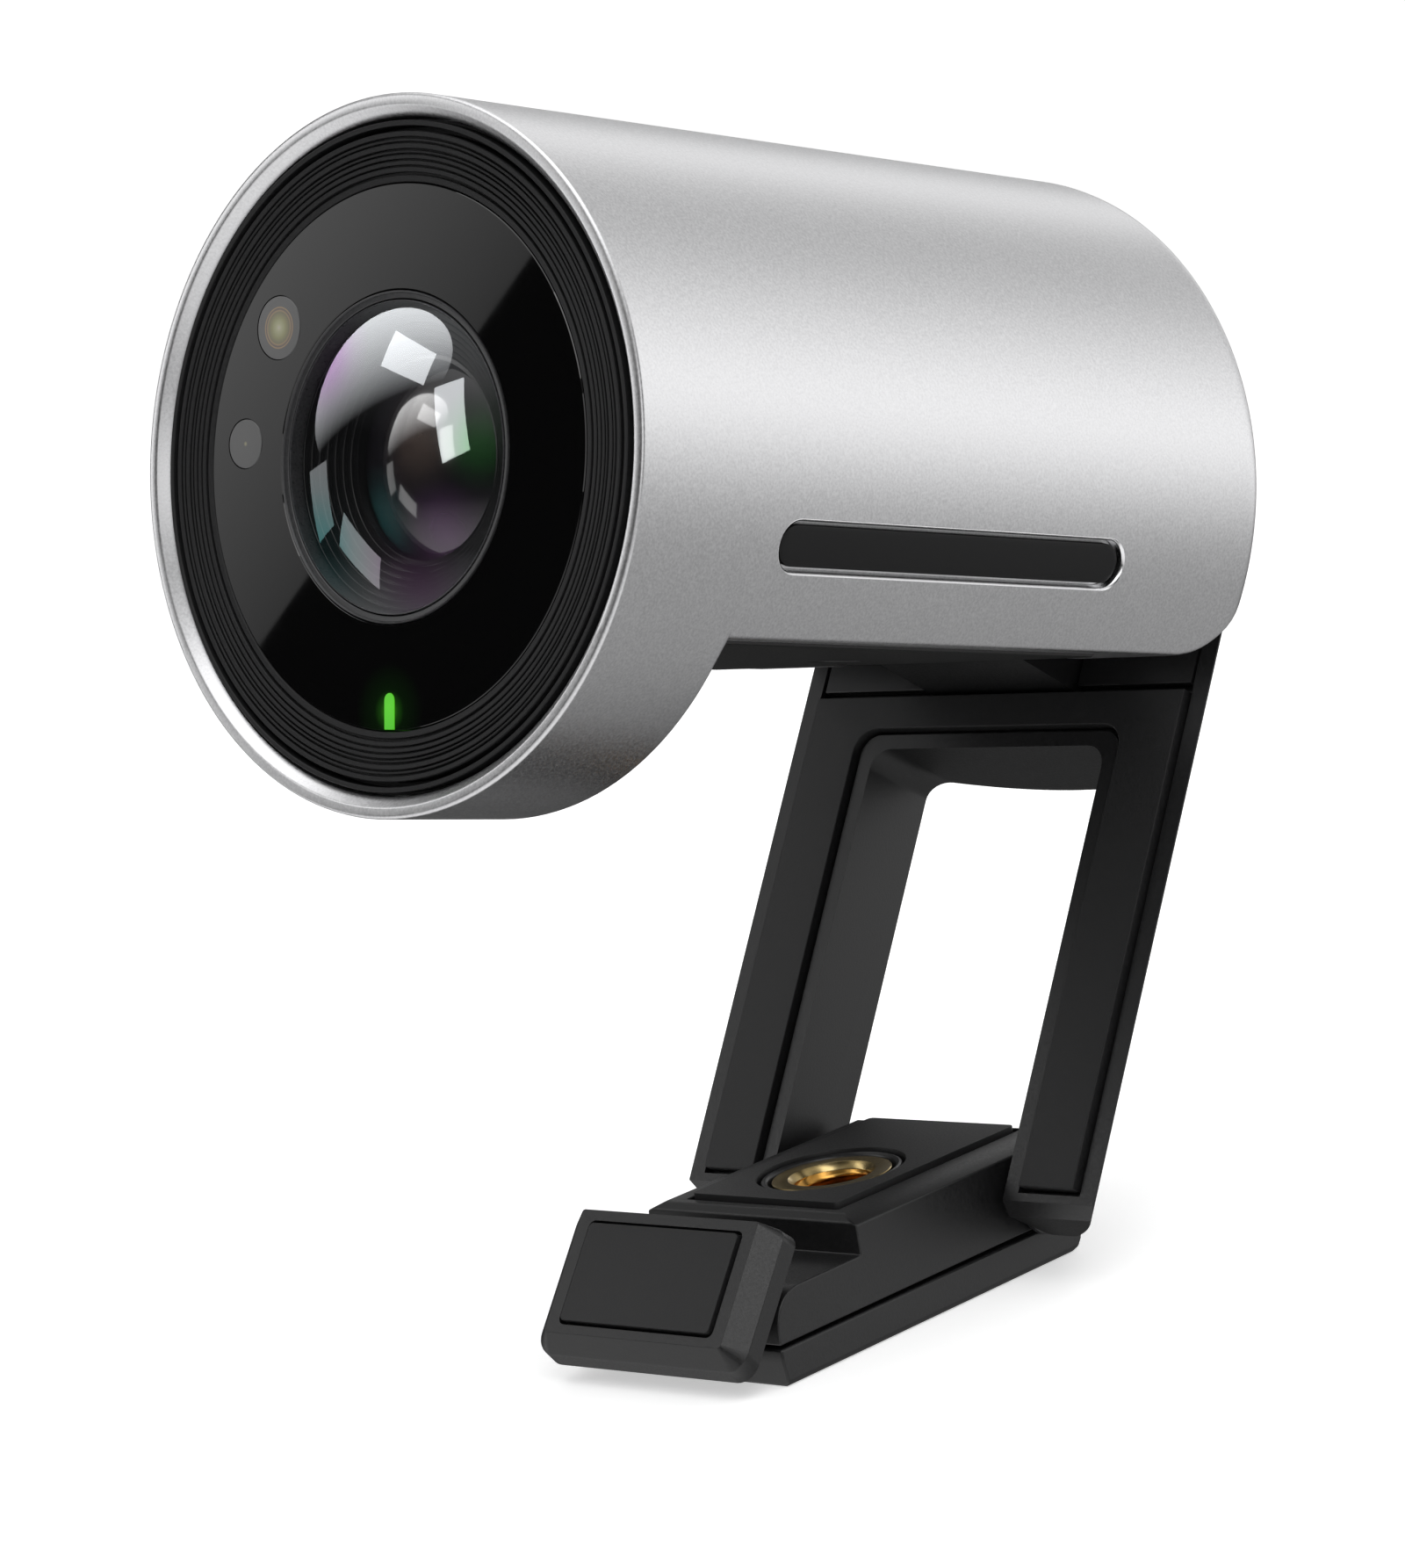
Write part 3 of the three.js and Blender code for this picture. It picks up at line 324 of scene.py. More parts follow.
MIC_SKIN = grain(material("mic_inlay_plastic", (0.012, 0.012, 0.012), 0.5, Specular_IOR_Level=0.2), 0.14, 3.0,
                 (0.44, 0.56), ((0.005, 0.005, 0.0053), (0.008, 0.008, 0.0083)))
DARK_METAL = grain(material("dark_satin_metal", (0.10, 0.10, 0.105), 0.32, 0.7), 0.2, 1.2, (0.27, 0.37),
                   ((0.07, 0.07, 0.075), (0.11, 0.11, 0.115)))
BEZEL_METAL = grain(material("dark_bezel_metal", (0.03, 0.03, 0.032), 0.38, 0.2), 0.2, 1.0, (0.33, 0.43),
                    ((0.022, 0.022, 0.023), (0.034, 0.034, 0.036)))
STEEL = grain(material("turned_steel", (0.55, 0.55, 0.56), 0.3, 1.0), 0.25, 1.5, (0.24, 0.38),
              ((0.48, 0.48, 0.49), (0.58, 0.58, 0.59)))
BOARD = grain(material("board_mask", (0.02, 0.10, 0.05), 0.35), 1.4, 4.0, (0.3, 0.45),
              ((0.012, 0.07, 0.035), (0.025, 0.12, 0.06)))
CHIP = grain(material("sensor_package_glass", (0.03, 0.03, 0.035), 0.15), 0.5, 1.0, (0.1, 0.2),
             ((0.02, 0.02, 0.03), (0.04, 0.04, 0.05)))
ALU = grain(material("inner_aluminium_cast", (0.55, 0.56, 0.57), 0.45, 0.9), 0.4, 6.0, (0.4, 0.52),
            ((0.48, 0.49, 0.50), (0.58, 0.59, 0.60)))


def head_polar(m, cx=0.0, cz=0.0):
    """Distance from a line along the head's own axis, in mm, and the vector across it in head millimetres."""
    back = HEAD.inverted()
    turn = node(m, "ShaderNodeMapping", vector_type="POINT")
    turn.inputs["Location"].default_value = back.to_translation() - Vector((cx, 0, cz))
    turn.inputs["Rotation"].default_value = back.to_3x3().normalized().to_euler()
    turn.inputs["Scale"].default_value = (1000, 1000, 1000)
    wire(m, place_of(m), turn.inputs["Vector"])
    split = node(m, "ShaderNodeSeparateXYZ")
    wire(m, turn.outputs["Vector"], split.inputs["Vector"])
    return length_of(m, split.outputs["X"], split.outputs["Z"])


LED_X, LED_TOP, LED_LOW, LED_HALF = -0.4, -16.45, -19.0, 0.52
LED_Z = (LED_TOP + LED_LOW) / 2


def smoked_glass():
    """Polished black window with a faint mottle, and the green glow that spreads in it round the light."""
    m = material("smoked_window_glass", (0.0008, 0.0008, 0.0009), 0.02, Emission_Strength=1.0)
    spread_over(m, mottle(m, 400.0), shader(m).inputs["Roughness"], 0.01, 0.03)
    radius, _ = head_polar(m, LED_X, LED_Z)
    wire(m, ramp_over(m, radius, 0.5, 3.4, [
        (0.0, (0.018, 0.11, 0.004)), (0.14, (0.006, 0.04, 0.002)), (0.34, (0.0008, 0.006, 0.0004)),
        (1.0, (0, 0, 0)),
    ]), shader(m).inputs["Emission Color"])
    return m


WINDOW_GLASS = smoked_glass()


def led_material():
    m = material("green_status_light", (0.02, 0.15, 0.01), 0.35, Emission_Strength=1.0)
    radius, _ = head_polar(m, LED_X, LED_Z + 0.3)
    wire(m, ramp_over(m, radius, 0.0, 2.4, [
        (0.0, (0.08, 0.46, 0.010)), (0.6, (0.055, 0.38, 0.006)), (1.0, (0.035, 0.29, 0.004)),
    ]), shader(m).inputs["Emission Color"])
    return m


LED = led_material()


COAT = {"Coat_Weight": 1.0, "Coat_Roughness": 0.03}


def disc_material(name, cx, cz, high, stops):
    """Small window under a polished coat: its colours by the distance from its middle."""
    m = material(name, (0.02, 0.02, 0.02), 0.3, **COAT)
    radius, _ = head_polar(m, cx, cz)
    wire(m, ramp_over(m, radius, 0.0, high, stops), shader(m).inputs["Base Color"])
    emboss(m, mottle(m, 3000.0), 1.0)
    return m


EMIT_X, EMIT_Z = -11.9, 9.9
AMBIENT_X, AMBIENT_Z = -15.55, 1.8
AMBER = disc_material("amber_emitter", EMIT_X, EMIT_Z, 2.3, [
    (0.0, (0.26, 0.25, 0.19)), (0.12, (0.20, 0.20, 0.10)), (0.32, (0.12, 0.115, 0.03)),
    (0.49, (0.06, 0.05, 0.014)), (0.53, (0.16, 0.10, 0.03)), (0.565, (0.05, 0.025, 0.012)),
    (0.605, (0.03, 0.018, 0.010)), (0.63, (0.19, 0.11, 0.03)), (0.665, (0.012, 0.0118, 0.0118)),
    (1.0, (0.010, 0.010, 0.0105)),
])
AMBIENT = disc_material("ambient_sensor", AMBIENT_X, AMBIENT_Z, 1.8, [
    (0.0, (0.16, 0.15, 0.07)), (0.06, (0.09, 0.085, 0.04)), (0.11, (0.012, 0.012, 0.0125)),
    (1.0, (0.010, 0.010, 0.0105)),
])


def painted_reflection_lobes(m, base, reflection_lobes):
    """Base colour of coated glass: an even tone with painted reflections over it, soft lobes of cyan, violet
    and green.
    """
    _, vector = head_polar(m)
    total = None
    # each lobe is a painted reflection: its colour fades with the distance from a fixed spot on the lens face
    for (tx, tz), reach, colour in reflection_lobes:
        away = node(m, "ShaderNodeVectorMath", operation="DISTANCE")
        wire(m, vector, away.inputs[0])
        away.inputs[1].default_value = (tx, tz, 0)
        share = ramp_over(m, away.outputs["Value"], 0.0, reach, [
            (0.0, (1.0,) * 3), (0.35, (0.7,) * 3), (0.7, (0.2,) * 3), (1.0, (0.0,) * 3)])
        mix = node(m, "ShaderNodeMix", data_type="RGBA")
        wire(m, share, mix.inputs[0])
        if total is None:
            mix.inputs[6].default_value = (*base, 1)
        else:
            wire(m, total, mix.inputs[6])
        mix.inputs[7].default_value = (*colour, 1)
        total = mix.outputs[2]
    wire(m, total, shader(m).inputs["Base Color"])


def inner_glass_with_painted_reflections():
    """Second lens element: deep dark glass with a polished coat, and painted reflections in its base colour.
    """
    m = material("lens_inner_glass_painted_reflections", (0.006, 0.005, 0.007), 0.1, **COAT)
    # painted reflections: warm, cyan, violet and green lobes in the base colour stand in for the coloured
    # reflections in the lens
    painted_reflection_lobes(m, (0.004, 0.003, 0.005), [
        ((0.4, 1.6), 4.4, (0.05, 0.036, 0.03)), ((-5.2, -4.6), 4.6, (0.01, 0.06, 0.06)),
        ((2.0, -5.6), 4.2, (0.06, 0.02, 0.07)), ((5.6, 1.0), 3.6, (0.01, 0.05, 0.012))])
    return m


LENS_INNER_PAINTED_REFLECTIONS = inner_glass_with_painted_reflections()
STEP_COAT = grain(material("lens_baffle_black", (0.003, 0.003, 0.0035), 0.5, Specular_IOR_Level=0.3), 0.3,
                  0.15, (0.22, 0.27), ((0.002, 0.002, 0.0025), (0.004, 0.004, 0.0045)))


def dome_glass():
    """Thin coated glass: what it doesn't mirror passes straight through its alpha, most at the middle."""
    m = material("lens_dome_glass", (0.94, 0.96, 1.0), 0.02, 1.0)
    # painted reflections: cyan, violet and green lobes in the mirror colour, at the spots where the lens
    # shows coloured reflections
    painted_reflection_lobes(m, (0.94, 0.97, 1.0), [
        ((-7.2, -6.2), 6.0, (0.22, 0.88, 0.88)), ((2.9, -7.6), 5.6, (0.92, 0.46, 0.94)),
        ((10.0, 0.4), 4.6, (0.5, 1.0, 0.56)), ((-6.6, 7.0), 5.0, (0.82, 0.5, 0.95))])
    edge = node(m, "ShaderNodeLayerWeight", Blend=0.25)
    spread_over(m, edge.outputs["Fresnel"], shader(m).inputs["Alpha"], 0.11, 0.34)
    spread_over(m, mottle(m, 300.0), shader(m).inputs["Roughness"], 0.008, 0.03)
    return m


DOME_GLASS = dome_glass()


def brass(name, colour, dark):
    """Turned brass: fine rings round the nut's own axis, with a little tarnish."""
    m = material(name, colour, 0.25, 1.0)
    away = node(m, "ShaderNodeVectorMath", operation="SUBTRACT")
    wire(m, place_of(m), away.inputs[0])
    away.inputs[1].default_value = FOOT @ Vector((0, NUT_Y, 0))
    split = node(m, "ShaderNodeSeparateXYZ")
    wire(m, away.outputs["Vector"], split.inputs["Vector"])
    radius, _ = length_of(m, split.outputs["X"], split.outputs["Y"])
    rings = node(m, "ShaderNodeTexNoise", noise_dimensions="1D", Scale=9000.0, Detail=2.0)
    wire(m, radius, rings.inputs["W"])
    emboss(m, rings.outputs["Fac"], 1.2)
    stain = colour_ramp(m, mottle(m, 700.0, 3.0), ((0.35, colour), (0.7, dark)))
    wire(m, stain, shader(m).inputs["Base Color"])
    return m


BRASS = brass("turned_brass", (0.52, 0.40, 0.19), (0.42, 0.31, 0.13))
BRASS_THREAD = brass("brass_thread", (0.72, 0.40, 0.10), (0.55, 0.28, 0.06))

# ---------------------------------------------------------------- head shell
R = 25.3
CHORD_Z = -13.05
NOTCH_Y = 12.05
CORNER_R = 6.1
LENGTH = 68.0
REAR_FILLET = 2.0
EDGE = 0.35
ARC_STEPS, CHORD_STEPS, TURN_STEPS = 180, 40, 4


def round_part(r, y, start):
    """Points of a ring from one lower corner over the top to the other."""
    turns = [start + (math.pi - 2 * start) * i / ARC_STEPS for i in range(ARC_STEPS + 1)]
    return [(r * math.cos(a), y, r * math.sin(a)) for a in turns]


def full_ring(r, y, lift=0.0):
    """Circle with as many points as the cut ring. lift pulls its lower part in, to round the notch's edge."""
    start = math.asin(CHORD_Z / R) + EDGE / R
    points = round_part(r, y, start)
    rest = 2 * TURN_STEPS + CHORD_STEPS + 1
    sweep = math.pi + 2 * start
    for i in range(1, rest + 1):
        share = i / (rest + 1)
        angle = math.pi - start + sweep * share
        near = min(share, 1 - share) * sweep * r
        pull = lift * min(1.0, near / 2.5)
        points.append(((r - pull) * math.cos(angle), y, (r - pull) * math.sin(angle)))
    return points


def cut_ring(r, y, chord):
    """Ring that is cut off flat at the height of a chord, with rounded corners."""
    corner = math.asin(max(-1.0, chord / r))
    start = corner + EDGE / r
    cx = r * math.cos(corner)

    def turn(sign):
        a = Vector((sign * r * math.cos(start), r * math.sin(start)))
        b = Vector((sign * cx, chord))
        c = Vector((sign * (cx - EDGE), chord))
        return [(a * (1 - t) ** 2 + b * 2 * t * (1 - t) + c * t * t) for t in
                [k / (TURN_STEPS + 1) for k in range(1, TURN_STEPS + 1)]]

    left = [(p.x, y, p.y) for p in turn(-1)]
    right = [(p.x, y, p.y) for p in reversed(turn(1))]
    inner = cx - EDGE
    chord_points = [(-inner + 2 * inner * i / CHORD_STEPS, y, chord) for i in range(CHORD_STEPS + 1)]
    return round_part(r, y, start) + left + chord_points + right


def shell_rings():
    rings = [full_ring(23.72, 3.4), full_ring(23.72, 0.86), full_ring(23.74, 0.78)]
    rings += [full_ring(24.38, 0.1), full_ring(24.46, 0.03), full_ring(24.56, 0.0)]
    rings += [full_ring(R - 0.3 + 0.3 * math.sin(a), 0.3 - 0.3 * math.cos(a)) for a in
              [math.radians(d) for d in (0, 22.5, 45, 67.5, 90)]]
    rings += [full_ring(R, y) for y in (3, 6, 9, NOTCH_Y - EDGE)]
    rings += [full_ring(R, NOTCH_Y - EDGE * (1 - math.sin(a)), EDGE * (1 - math.cos(a))) for a in
              [math.radians(d) for d in (22.5, 45, 67.5, 90)]]
    rings += [cut_ring(R, y, CHORD_Z) for y in (NOTCH_Y, 20, 28, 36, 44, 52, HINGE.y)]
    for d in range(6, 91, 6):
        a = math.radians(d)
        y = HINGE.y + CORNER_R * math.sin(a)
        rings.append(cut_ring(rear_radius(y), y, HINGE.z - CORNER_R * math.cos(a)))
    rings += [cut_ring(rear_radius(y), y, HINGE.z) for y in (67.8, 67.88, 67.94, 67.98, LENGTH)]
    return rings


def rear_radius(y):
    over = max(0.0, y - (LENGTH - REAR_FILLET))
    return R - REAR_FILLET + math.sqrt(max(0.0, REAR_FILLET ** 2 - over ** 2)) * 0.95 + 0.1


MIC_ANGLE = math.radians(-15.4)
MIC_Y0, MIC_Y1, MIC_H = 14.2, 51.8, 2.0


def stadium(inset, r, side):
    """Closed slot outline laid on a cylinder of radius r, pulled in by inset."""
    h, steps = MIC_H - inset, 14
    out = []
    for cy, start in ((MIC_Y1 - MIC_H, -90), (MIC_Y0 + MIC_H, 90)):
        for i in range(steps + 1):
            a = math.radians(start + 180 * i / steps)
            y, t = cy + h * math.cos(a), h * math.sin(a)
            angle = MIC_ANGLE + t / R
            out.append((side * r * math.cos(angle), y, r * math.sin(angle)))
    return out


shell = loft(shell_rings())
cavity_side = [(3.0, -R), (10.05, -R), (10.05, -10.6), (HINGE.y, -10.6)]
cavity_side += arc(HINGE.y, HINGE.z, 3.65, -90, 0, 8) + [(70, HINGE.z), (70, R), (3.0, R)]
cavity = meet(lathe([(23.3, 3.0), (23.3, 70)], 128), prism(cavity_side, "X", -R, R))
slots = [loft([stadium(0, 24.3, side), stadium(0, 27, side)]) for _, side in SIDES]
shell = cut(shell, cavity, block(-19.9, 19.9, NOTCH_Y + 0.05, 54.5, -15, -11.9),
            block(-12.2, 12.2, 53.4, 70, -16, 1.6), *slots)
piece("shell", shell, "head", SILVER, "silver_shell", "head_shell", angle=30)
for label, side in SIDES:
    trim = [stadium(inset, r, side) for inset, r in (
        (-0.02, R - 0.02), (0.03, R), (0.07, R - 0.03), (0.17, R - 0.15), (0.19, R - 0.25), (0.19, 24.4),
        (-0.02, 24.4))]
    piece(f"mic_slot_edge_{label}", loft(trim + trim[:1], False), "head", BRIGHT, "silver_shell", angle=40)
    skin = [stadium(inset, r, side) for inset, r in (
        (0.48, 24.35), (0.48, 24.82), (0.52, 24.92), (0.62, 24.96), (0.9, 24.97), (1.3, 24.98), (1.7, 24.98),
        (1.95, 24.98))]
    piece(f"mic_inlay_{label}", loft(skin), "head", MIC_SKIN, "black_plastic", f"mic_cover_{label}", angle=40)

# ---------------------------------------------------------------- front stack
GLASS_Y, GLASS_R, RING_IN, RING_OUT = 0.9, 19.1, 19.17, 23.4
GROOVES = ((22.22, 0.085), (21.9, 0.07), (21.4, 0.085), (21.1, 0.07), (20.7, 0.075), (20.27, 0.075),
           (19.75, 0.12))


def ring_y(r):
    return 0.45 + (RING_OUT - r) / (RING_OUT - RING_IN) * 0.45


ring_profile = [(RING_IN, 3.2), (23.6, 3.2), (23.6, 1.6), (23.42, 1.6), (23.42, 0.52), (23.36, 0.46),
                (23.12, 0.48), (23.06, 0.54), (23.04, 1.9), (22.7, 1.9), (22.68, 0.62),
                (22.62, ring_y(22.62))]
for radius, half in GROOVES:
    for away, drop in ((half + 0.04, 0.0), (half, 0.05), (half * 0.7, 0.32), (-half * 0.7, 0.32),
                       (-half, 0.05), (-half - 0.04, 0.0)):
        ring_profile.append((radius + away, ring_y(radius + away) + drop))
ring_profile += [(RING_IN + 0.07, ring_y(RING_IN)), (RING_IN, ring_y(RING_IN) + 0.08)]
piece("front_grooved_ring", lathe(ring_profile, 240, True), "head", RING_BLACK, "black_plastic", "front_ring",
      angle=24)

glass = lathe([(11.72, 3.2), (GLASS_R, 3.2), (GLASS_R, 0.96), (GLASS_R - 0.06, GLASS_Y), (11.78, GLASS_Y),
               (11.72, 0.96)], 240, True)
led_outline = arc(LED_X, LED_TOP - LED_HALF, LED_HALF, 0, 180, 10)
led_outline += [(LED_X - LED_HALF, LED_LOW), (LED_X + LED_HALF, LED_LOW)]
led_hole = arc(LED_X, LED_TOP - LED_HALF, LED_HALF + 0.03, 0, 180, 10)
led_hole += [(LED_X - LED_HALF - 0.03, -20), (LED_X + LED_HALF + 0.03, -20)]
glass = cut(glass, lathe([(2.33, 0), (2.33, 4)], 64, cx=EMIT_X, cz=EMIT_Z),
            lathe([(1.83, 0), (1.83, 4)], 64, cx=AMBIENT_X, cz=AMBIENT_Z), prism(led_hole, "Y", 0, 4))
piece("front_window", glass, "head", WINDOW_GLASS, "window_glass", "glass_window")


def flush_disc(r, cx, cz):
    return lathe([(0.02, GLASS_Y + 0.01), (r - 0.06, GLASS_Y + 0.01), (r, GLASS_Y + 0.06), (r, 3.3),
                  (0.02, 3.3)], 64,
                 cx=cx, cz=cz)


piece("emitter_window", flush_disc(2.3, EMIT_X, EMIT_Z), "head", AMBER, "amber_reflector", "emitter_module")
piece("ambient_window", flush_disc(1.8, AMBIENT_X, AMBIENT_Z), "head", AMBIENT, "sensor_package",
      "light_sensor")
piece("status_light", soften(prism(led_outline, "Y", GLASS_Y - 0.02, 5.5), 0.04), "head", LED, "green_light",
      "status_light_pipe")

piece("lens_bezel_ring", lathe([(11.08, 3.6), (11.66, 3.6), (11.66, 0.96), (11.61, 0.87), (11.55, 0.86),
                                (11.5, 0.9), (11.46, 1.0), (11.16, 1.06), (11.1, 1.12), (11.08, 1.4)], 180,
                               True),
      "head", BEZEL_METAL, "dark_metal", "lens_bezel")


def dome(r, apex, edge, steps):
    sag = edge - apex
    ball = (r * r + sag * sag) / (2 * sag)
    half = math.asin(r / ball)
    return [(max(0.02, ball * math.sin(half * i / steps)), apex + ball * (1 - math.cos(half * i / steps)))
            for i in range(steps + 1)]


LENS_R, LENS_APEX, LENS_EDGE = 10.92, -0.7, 1.08
lens_front = piece("lens_dome", lathe(dome(LENS_R, LENS_APEX, LENS_EDGE, 32), 180, back=False), "head",
                   DOME_GLASS, "lens_glass", "lens_front_element", weighted=False)
rim = lathe([(11.02, 3.6), (11.02, 1.16), (10.98, 1.07), (10.93, 1.05), (10.9, 1.12), (10.8, 3.6)], 180, True)
piece("lens_glass_edge", rim, "head", DARK_METAL, "lens_glass")
baffle = [(10.96, 4.4), (10.76, 4.4), (10.7, 2.3)]
step_r, step_y = 10.6, 2.0
for k in range(7):
    baffle += [(step_r + 0.04, step_y + 0.03), (step_r, step_y), (step_r - 0.07, step_y),
               (step_r - 0.11, step_y + 0.04), (step_r - 0.14, step_y + 0.36)]
    step_r, step_y = step_r - 0.5, step_y + 0.3
baffle += [(step_r, step_y), (step_r, step_y + 1.2), (6.6, 6.4), (6.6, 7.6), (9.9, 7.6), (9.9, 4.6)]
lens_steps = piece("lens_baffle", lathe(baffle, 180, True), "head", STEP_COAT, "black_plastic", "lens_barrel",
                   angle=24)
lens_rear = piece("lens_inner_dome", lathe(dome(7.2, 3.0, 4.9, 24) + [(7.2, 6.3), (0.02, 6.3)], 140), "head",
                  LENS_INNER_PAINTED_REFLECTIONS, "lens_glass", "lens_rear_element", weighted=False)

# ---------------------------------------------------------------- rear cover, inlet, underside
INLET_Z = 11


def inlet_outline(half_x, half_z, r, steps=8):
    return [(x, z + INLET_Z) for x, z in rounded(-half_x, half_x, -half_z, half_z, r, steps)]


back = meet(lathe([(23.0, 66.2), (23.0, 67.7)], 180), block(-R, R, 60, 70, -6.55, R))
for r0, r1 in ((20.4, 21.2), (17.6, 17.9), (16.6, 16.9)):
    back = cut(back, meet(lathe([(r0, 67.2), (r1, 67.2), (r1, 69), (r0, 69)], 180, True),
                          block(-R, R, 60, 70, 3.2, R)))
back = cut(back, prism(inlet_outline(4.8, 1.9, 1.5, 6), "Y", 60, 70), block(-12.5, 12.5, 60, 70, -R, 1.9))
piece("rear_panel", soften(back, 0.16), "head", BLACK, "black_plastic", "rear_cover")
tube = cut(prism(inlet_outline(4.5, 1.6, 1.4), "Y", 60.6, 67.2),
           prism(inlet_outline(4.18, 1.28, 1.15), "Y", 61.4, 69))
piece("inlet_shell", soften(tube, 0.08), "head", STEEL, "steel", "usb_socket")
piece("inlet_tongue", soften(block(-3.3, 3.3, 61.3, 66.4, 10.65, 11.35), 0.12), "head", SMOOTH_BLACK,
      "black_plastic")


def screw(name, s, low, top, head_top, head_r, shank_r, body, node_name):
    """Countersunk machine screw that stands along the local Z, head down, with a hexagon socket."""
    ob = lathe([(0.02, low + 0.05), (head_r - 0.12, low), (head_r, low + 0.1), (head_r, head_top),
                (shank_r, head_top + 0.1), (shank_r, top), (0.02, top)], 48)
    key = lathe([(head_r * 0.5, low - 1), (head_r * 0.5, low + 0.42)], 6)
    piece(name, standing(cut(ob, key), 0, s), body, STEEL, "steel", node_name)


plate = block(-19.6, 19.6, 12.35, 54.2, -13.3, -12.2)
PLATE_SCREWS = (("front", 24.8), ("rear", 47.0))
for _, s in PLATE_SCREWS:
    plate = cut(plate, standing(lathe([(2.0, -14), (2.0, -12.45)], 48), 0, s))
piece("underside_plate", soften(plate, 0.22), "head", BLACK, "black_plastic", "base_plate")
for end, s in PLATE_SCREWS:
    screw(f"plate_screw_{end}", s, -13.15, -9.2, -12.65, 1.7, 0.9, "head", f"base_screw_{end}")

profile = [(53.7, -11.6), (HINGE.y, -11.6)] + arc(HINGE.y, HINGE.z, 4.7, -90, 0, 10)
profile += [(67.6, HINGE.z), (67.6, 1.3), (53.7, 1.3)]
bracket = cut(prism(profile, "X", -11.9, 11.9), block(-8.9, 8.9, 55.05, 70, -15, -0.35),
              lying(lathe([(1.95, -13), (1.95, 13)], 48), HINGE.y, HINGE.z))
piece("hinge_yoke", soften(bracket, 0.25), "head", DARK_METAL, "dark_metal", "hinge_bracket")
piece("hinge_rod", lying(lathe([(0.02, -11.9), (1.45, -11.9), (1.6, -11.75), (1.6, 11.75), (1.45, 11.9),
                                (0.02, 11.9)],
                               48), HINGE.y, HINGE.z), "head", STEEL, "steel", "head_hinge_pin")
for label, side in SIDES:
    ends = sorted((side * 7.7, side * 8.6))
    ring = lathe([(1.95, ends[0]), (3.45, ends[0]), (3.6, ends[0] + 0.15), (3.6, ends[1] - 0.15),
                  (3.45, ends[1]), (1.95, ends[1])], 56, True)
    piece(f"hinge_washer_{label}", lying(ring, HINGE.y, HINGE.z), "head", STEEL, "steel",
          f"head_washer_{label}")

# ---------------------------------------------------------------- frame of the stand
FACE_Z, Y0, Y1 = -14.4, 13.1, 67.8
half_angle = math.degrees(math.asin(-FACE_Z / R))
section = arc(0, 0, R, -half_angle, half_angle - 180, 48)
side = [(Y0 + 0.9, FACE_Z), (Y0, FACE_Z - 1.1), (Y0, LEG_PIVOT.z)]
side += arc(LEG_PIVOT.y, LEG_PIVOT.z, LEG_PIVOT.y - Y0, 180, 270, 8)[1:]
side += [(LEG_PIVOT.y + 3, -27), (Y1 - 2, -27), (Y1, -R + 2), (Y1, FACE_Z - 0.5), (Y1 - 0.5, FACE_Z)]
legs = meet(prism(section, "Y", Y0 - 1, Y1 + 1), prism(side, "X", -24, 24))
WIN, WIN_Y, WIN_R = 12.0, 50.75, 1.8
FLARE_Z, FLARE, FLARE_Y = -17.8, 12.57, 51.2


def window_ring(z, half, top):
    """Outline of the frame's window, which opens at its foot end, at one depth."""
    outline = [(-half, Y0 - 2), (half, Y0 - 2)] + arc(half - WIN_R, top - WIN_R, WIN_R, 0, 90, 8)
    return [(x, y, z) for x, y in outline + arc(WIN_R - half, top - WIN_R, WIN_R, 90, 180, 8)]


legs = cut(legs, loft([window_ring(z, WIN, WIN_Y) for z in (-20, FACE_Z + 2)]),
           loft([window_ring(FLARE_Z, WIN, WIN_Y), window_ring(-26.5, FLARE + 0.05, FLARE_Y)]))


def pad_outline(m):
    inner, outer_half, top, r = 13.7 - m, 18.97 + m, 52.3 - m, 1.4 + (0.6 if m == 0 else 0.35)
    return ([(outer_half, 15 - m), (outer_half, 55.1 + m), (-outer_half, 55.1 + m), (-outer_half, 15 - m),
             (-inner, 15 - m)] + arc(r - inner, top - r, r, 180, 90, 8) + arc(inner - r, top - r, r, 90, 0, 8)
            + [(inner, 15 - m)])


legs = cut(legs, prism(pad_outline(0.35), "Z", FACE_Z - 0.9, FACE_Z + 2),
           block(-19.27, 19.27, 55.45, 66.9, FACE_Z - 1.1, FACE_Z + 2))
knuckle = prism([(HINGE.y - 6.15, FACE_Z - 1)] + arc(HINGE.y, HINGE.z, 6.15, 180, 0, 28)
                + [(HINGE.y + 6.15, FACE_Z - 1)], "X", -7.4, 7.4)
legs = cut(join(legs, knuckle), lying(lathe([(1.95, -9), (1.95, 9)], 48), HINGE.y, HINGE.z))
for sign in (1, -1):
    bore = lying(lathe([(1.35, min(sign * 11, sign * 13.9)), (1.35, max(sign * 11, sign * 13.9))], 32),
                 LEG_PIVOT.y, LEG_PIVOT.z)
    legs = cut(legs, bore)
piece("stand_frame", soften(legs, 0.24, 3), "frame", BLACK, "black_plastic", "frame_body")
pad = prism(pad_outline(0), "Z", FACE_Z - 0.6, FACE_Z + 0.6)
piece("stand_pad", soften(pad, 0.14, 2), "frame", RUBBER, "rubber_pad", "frame_pad")
for label, sign in SIDES:
    xs = sorted((sign * 7.7, sign * 18.97))
    cover = block(xs[0], xs[1], 55.75, 66.6, FACE_Z - 0.8, FACE_Z + 0.0)
    piece(f"hinge_cover_{label}", soften(cover, 0.15), "frame", BLACK, "black_plastic",
          f"frame_hinge_cover_{label}")

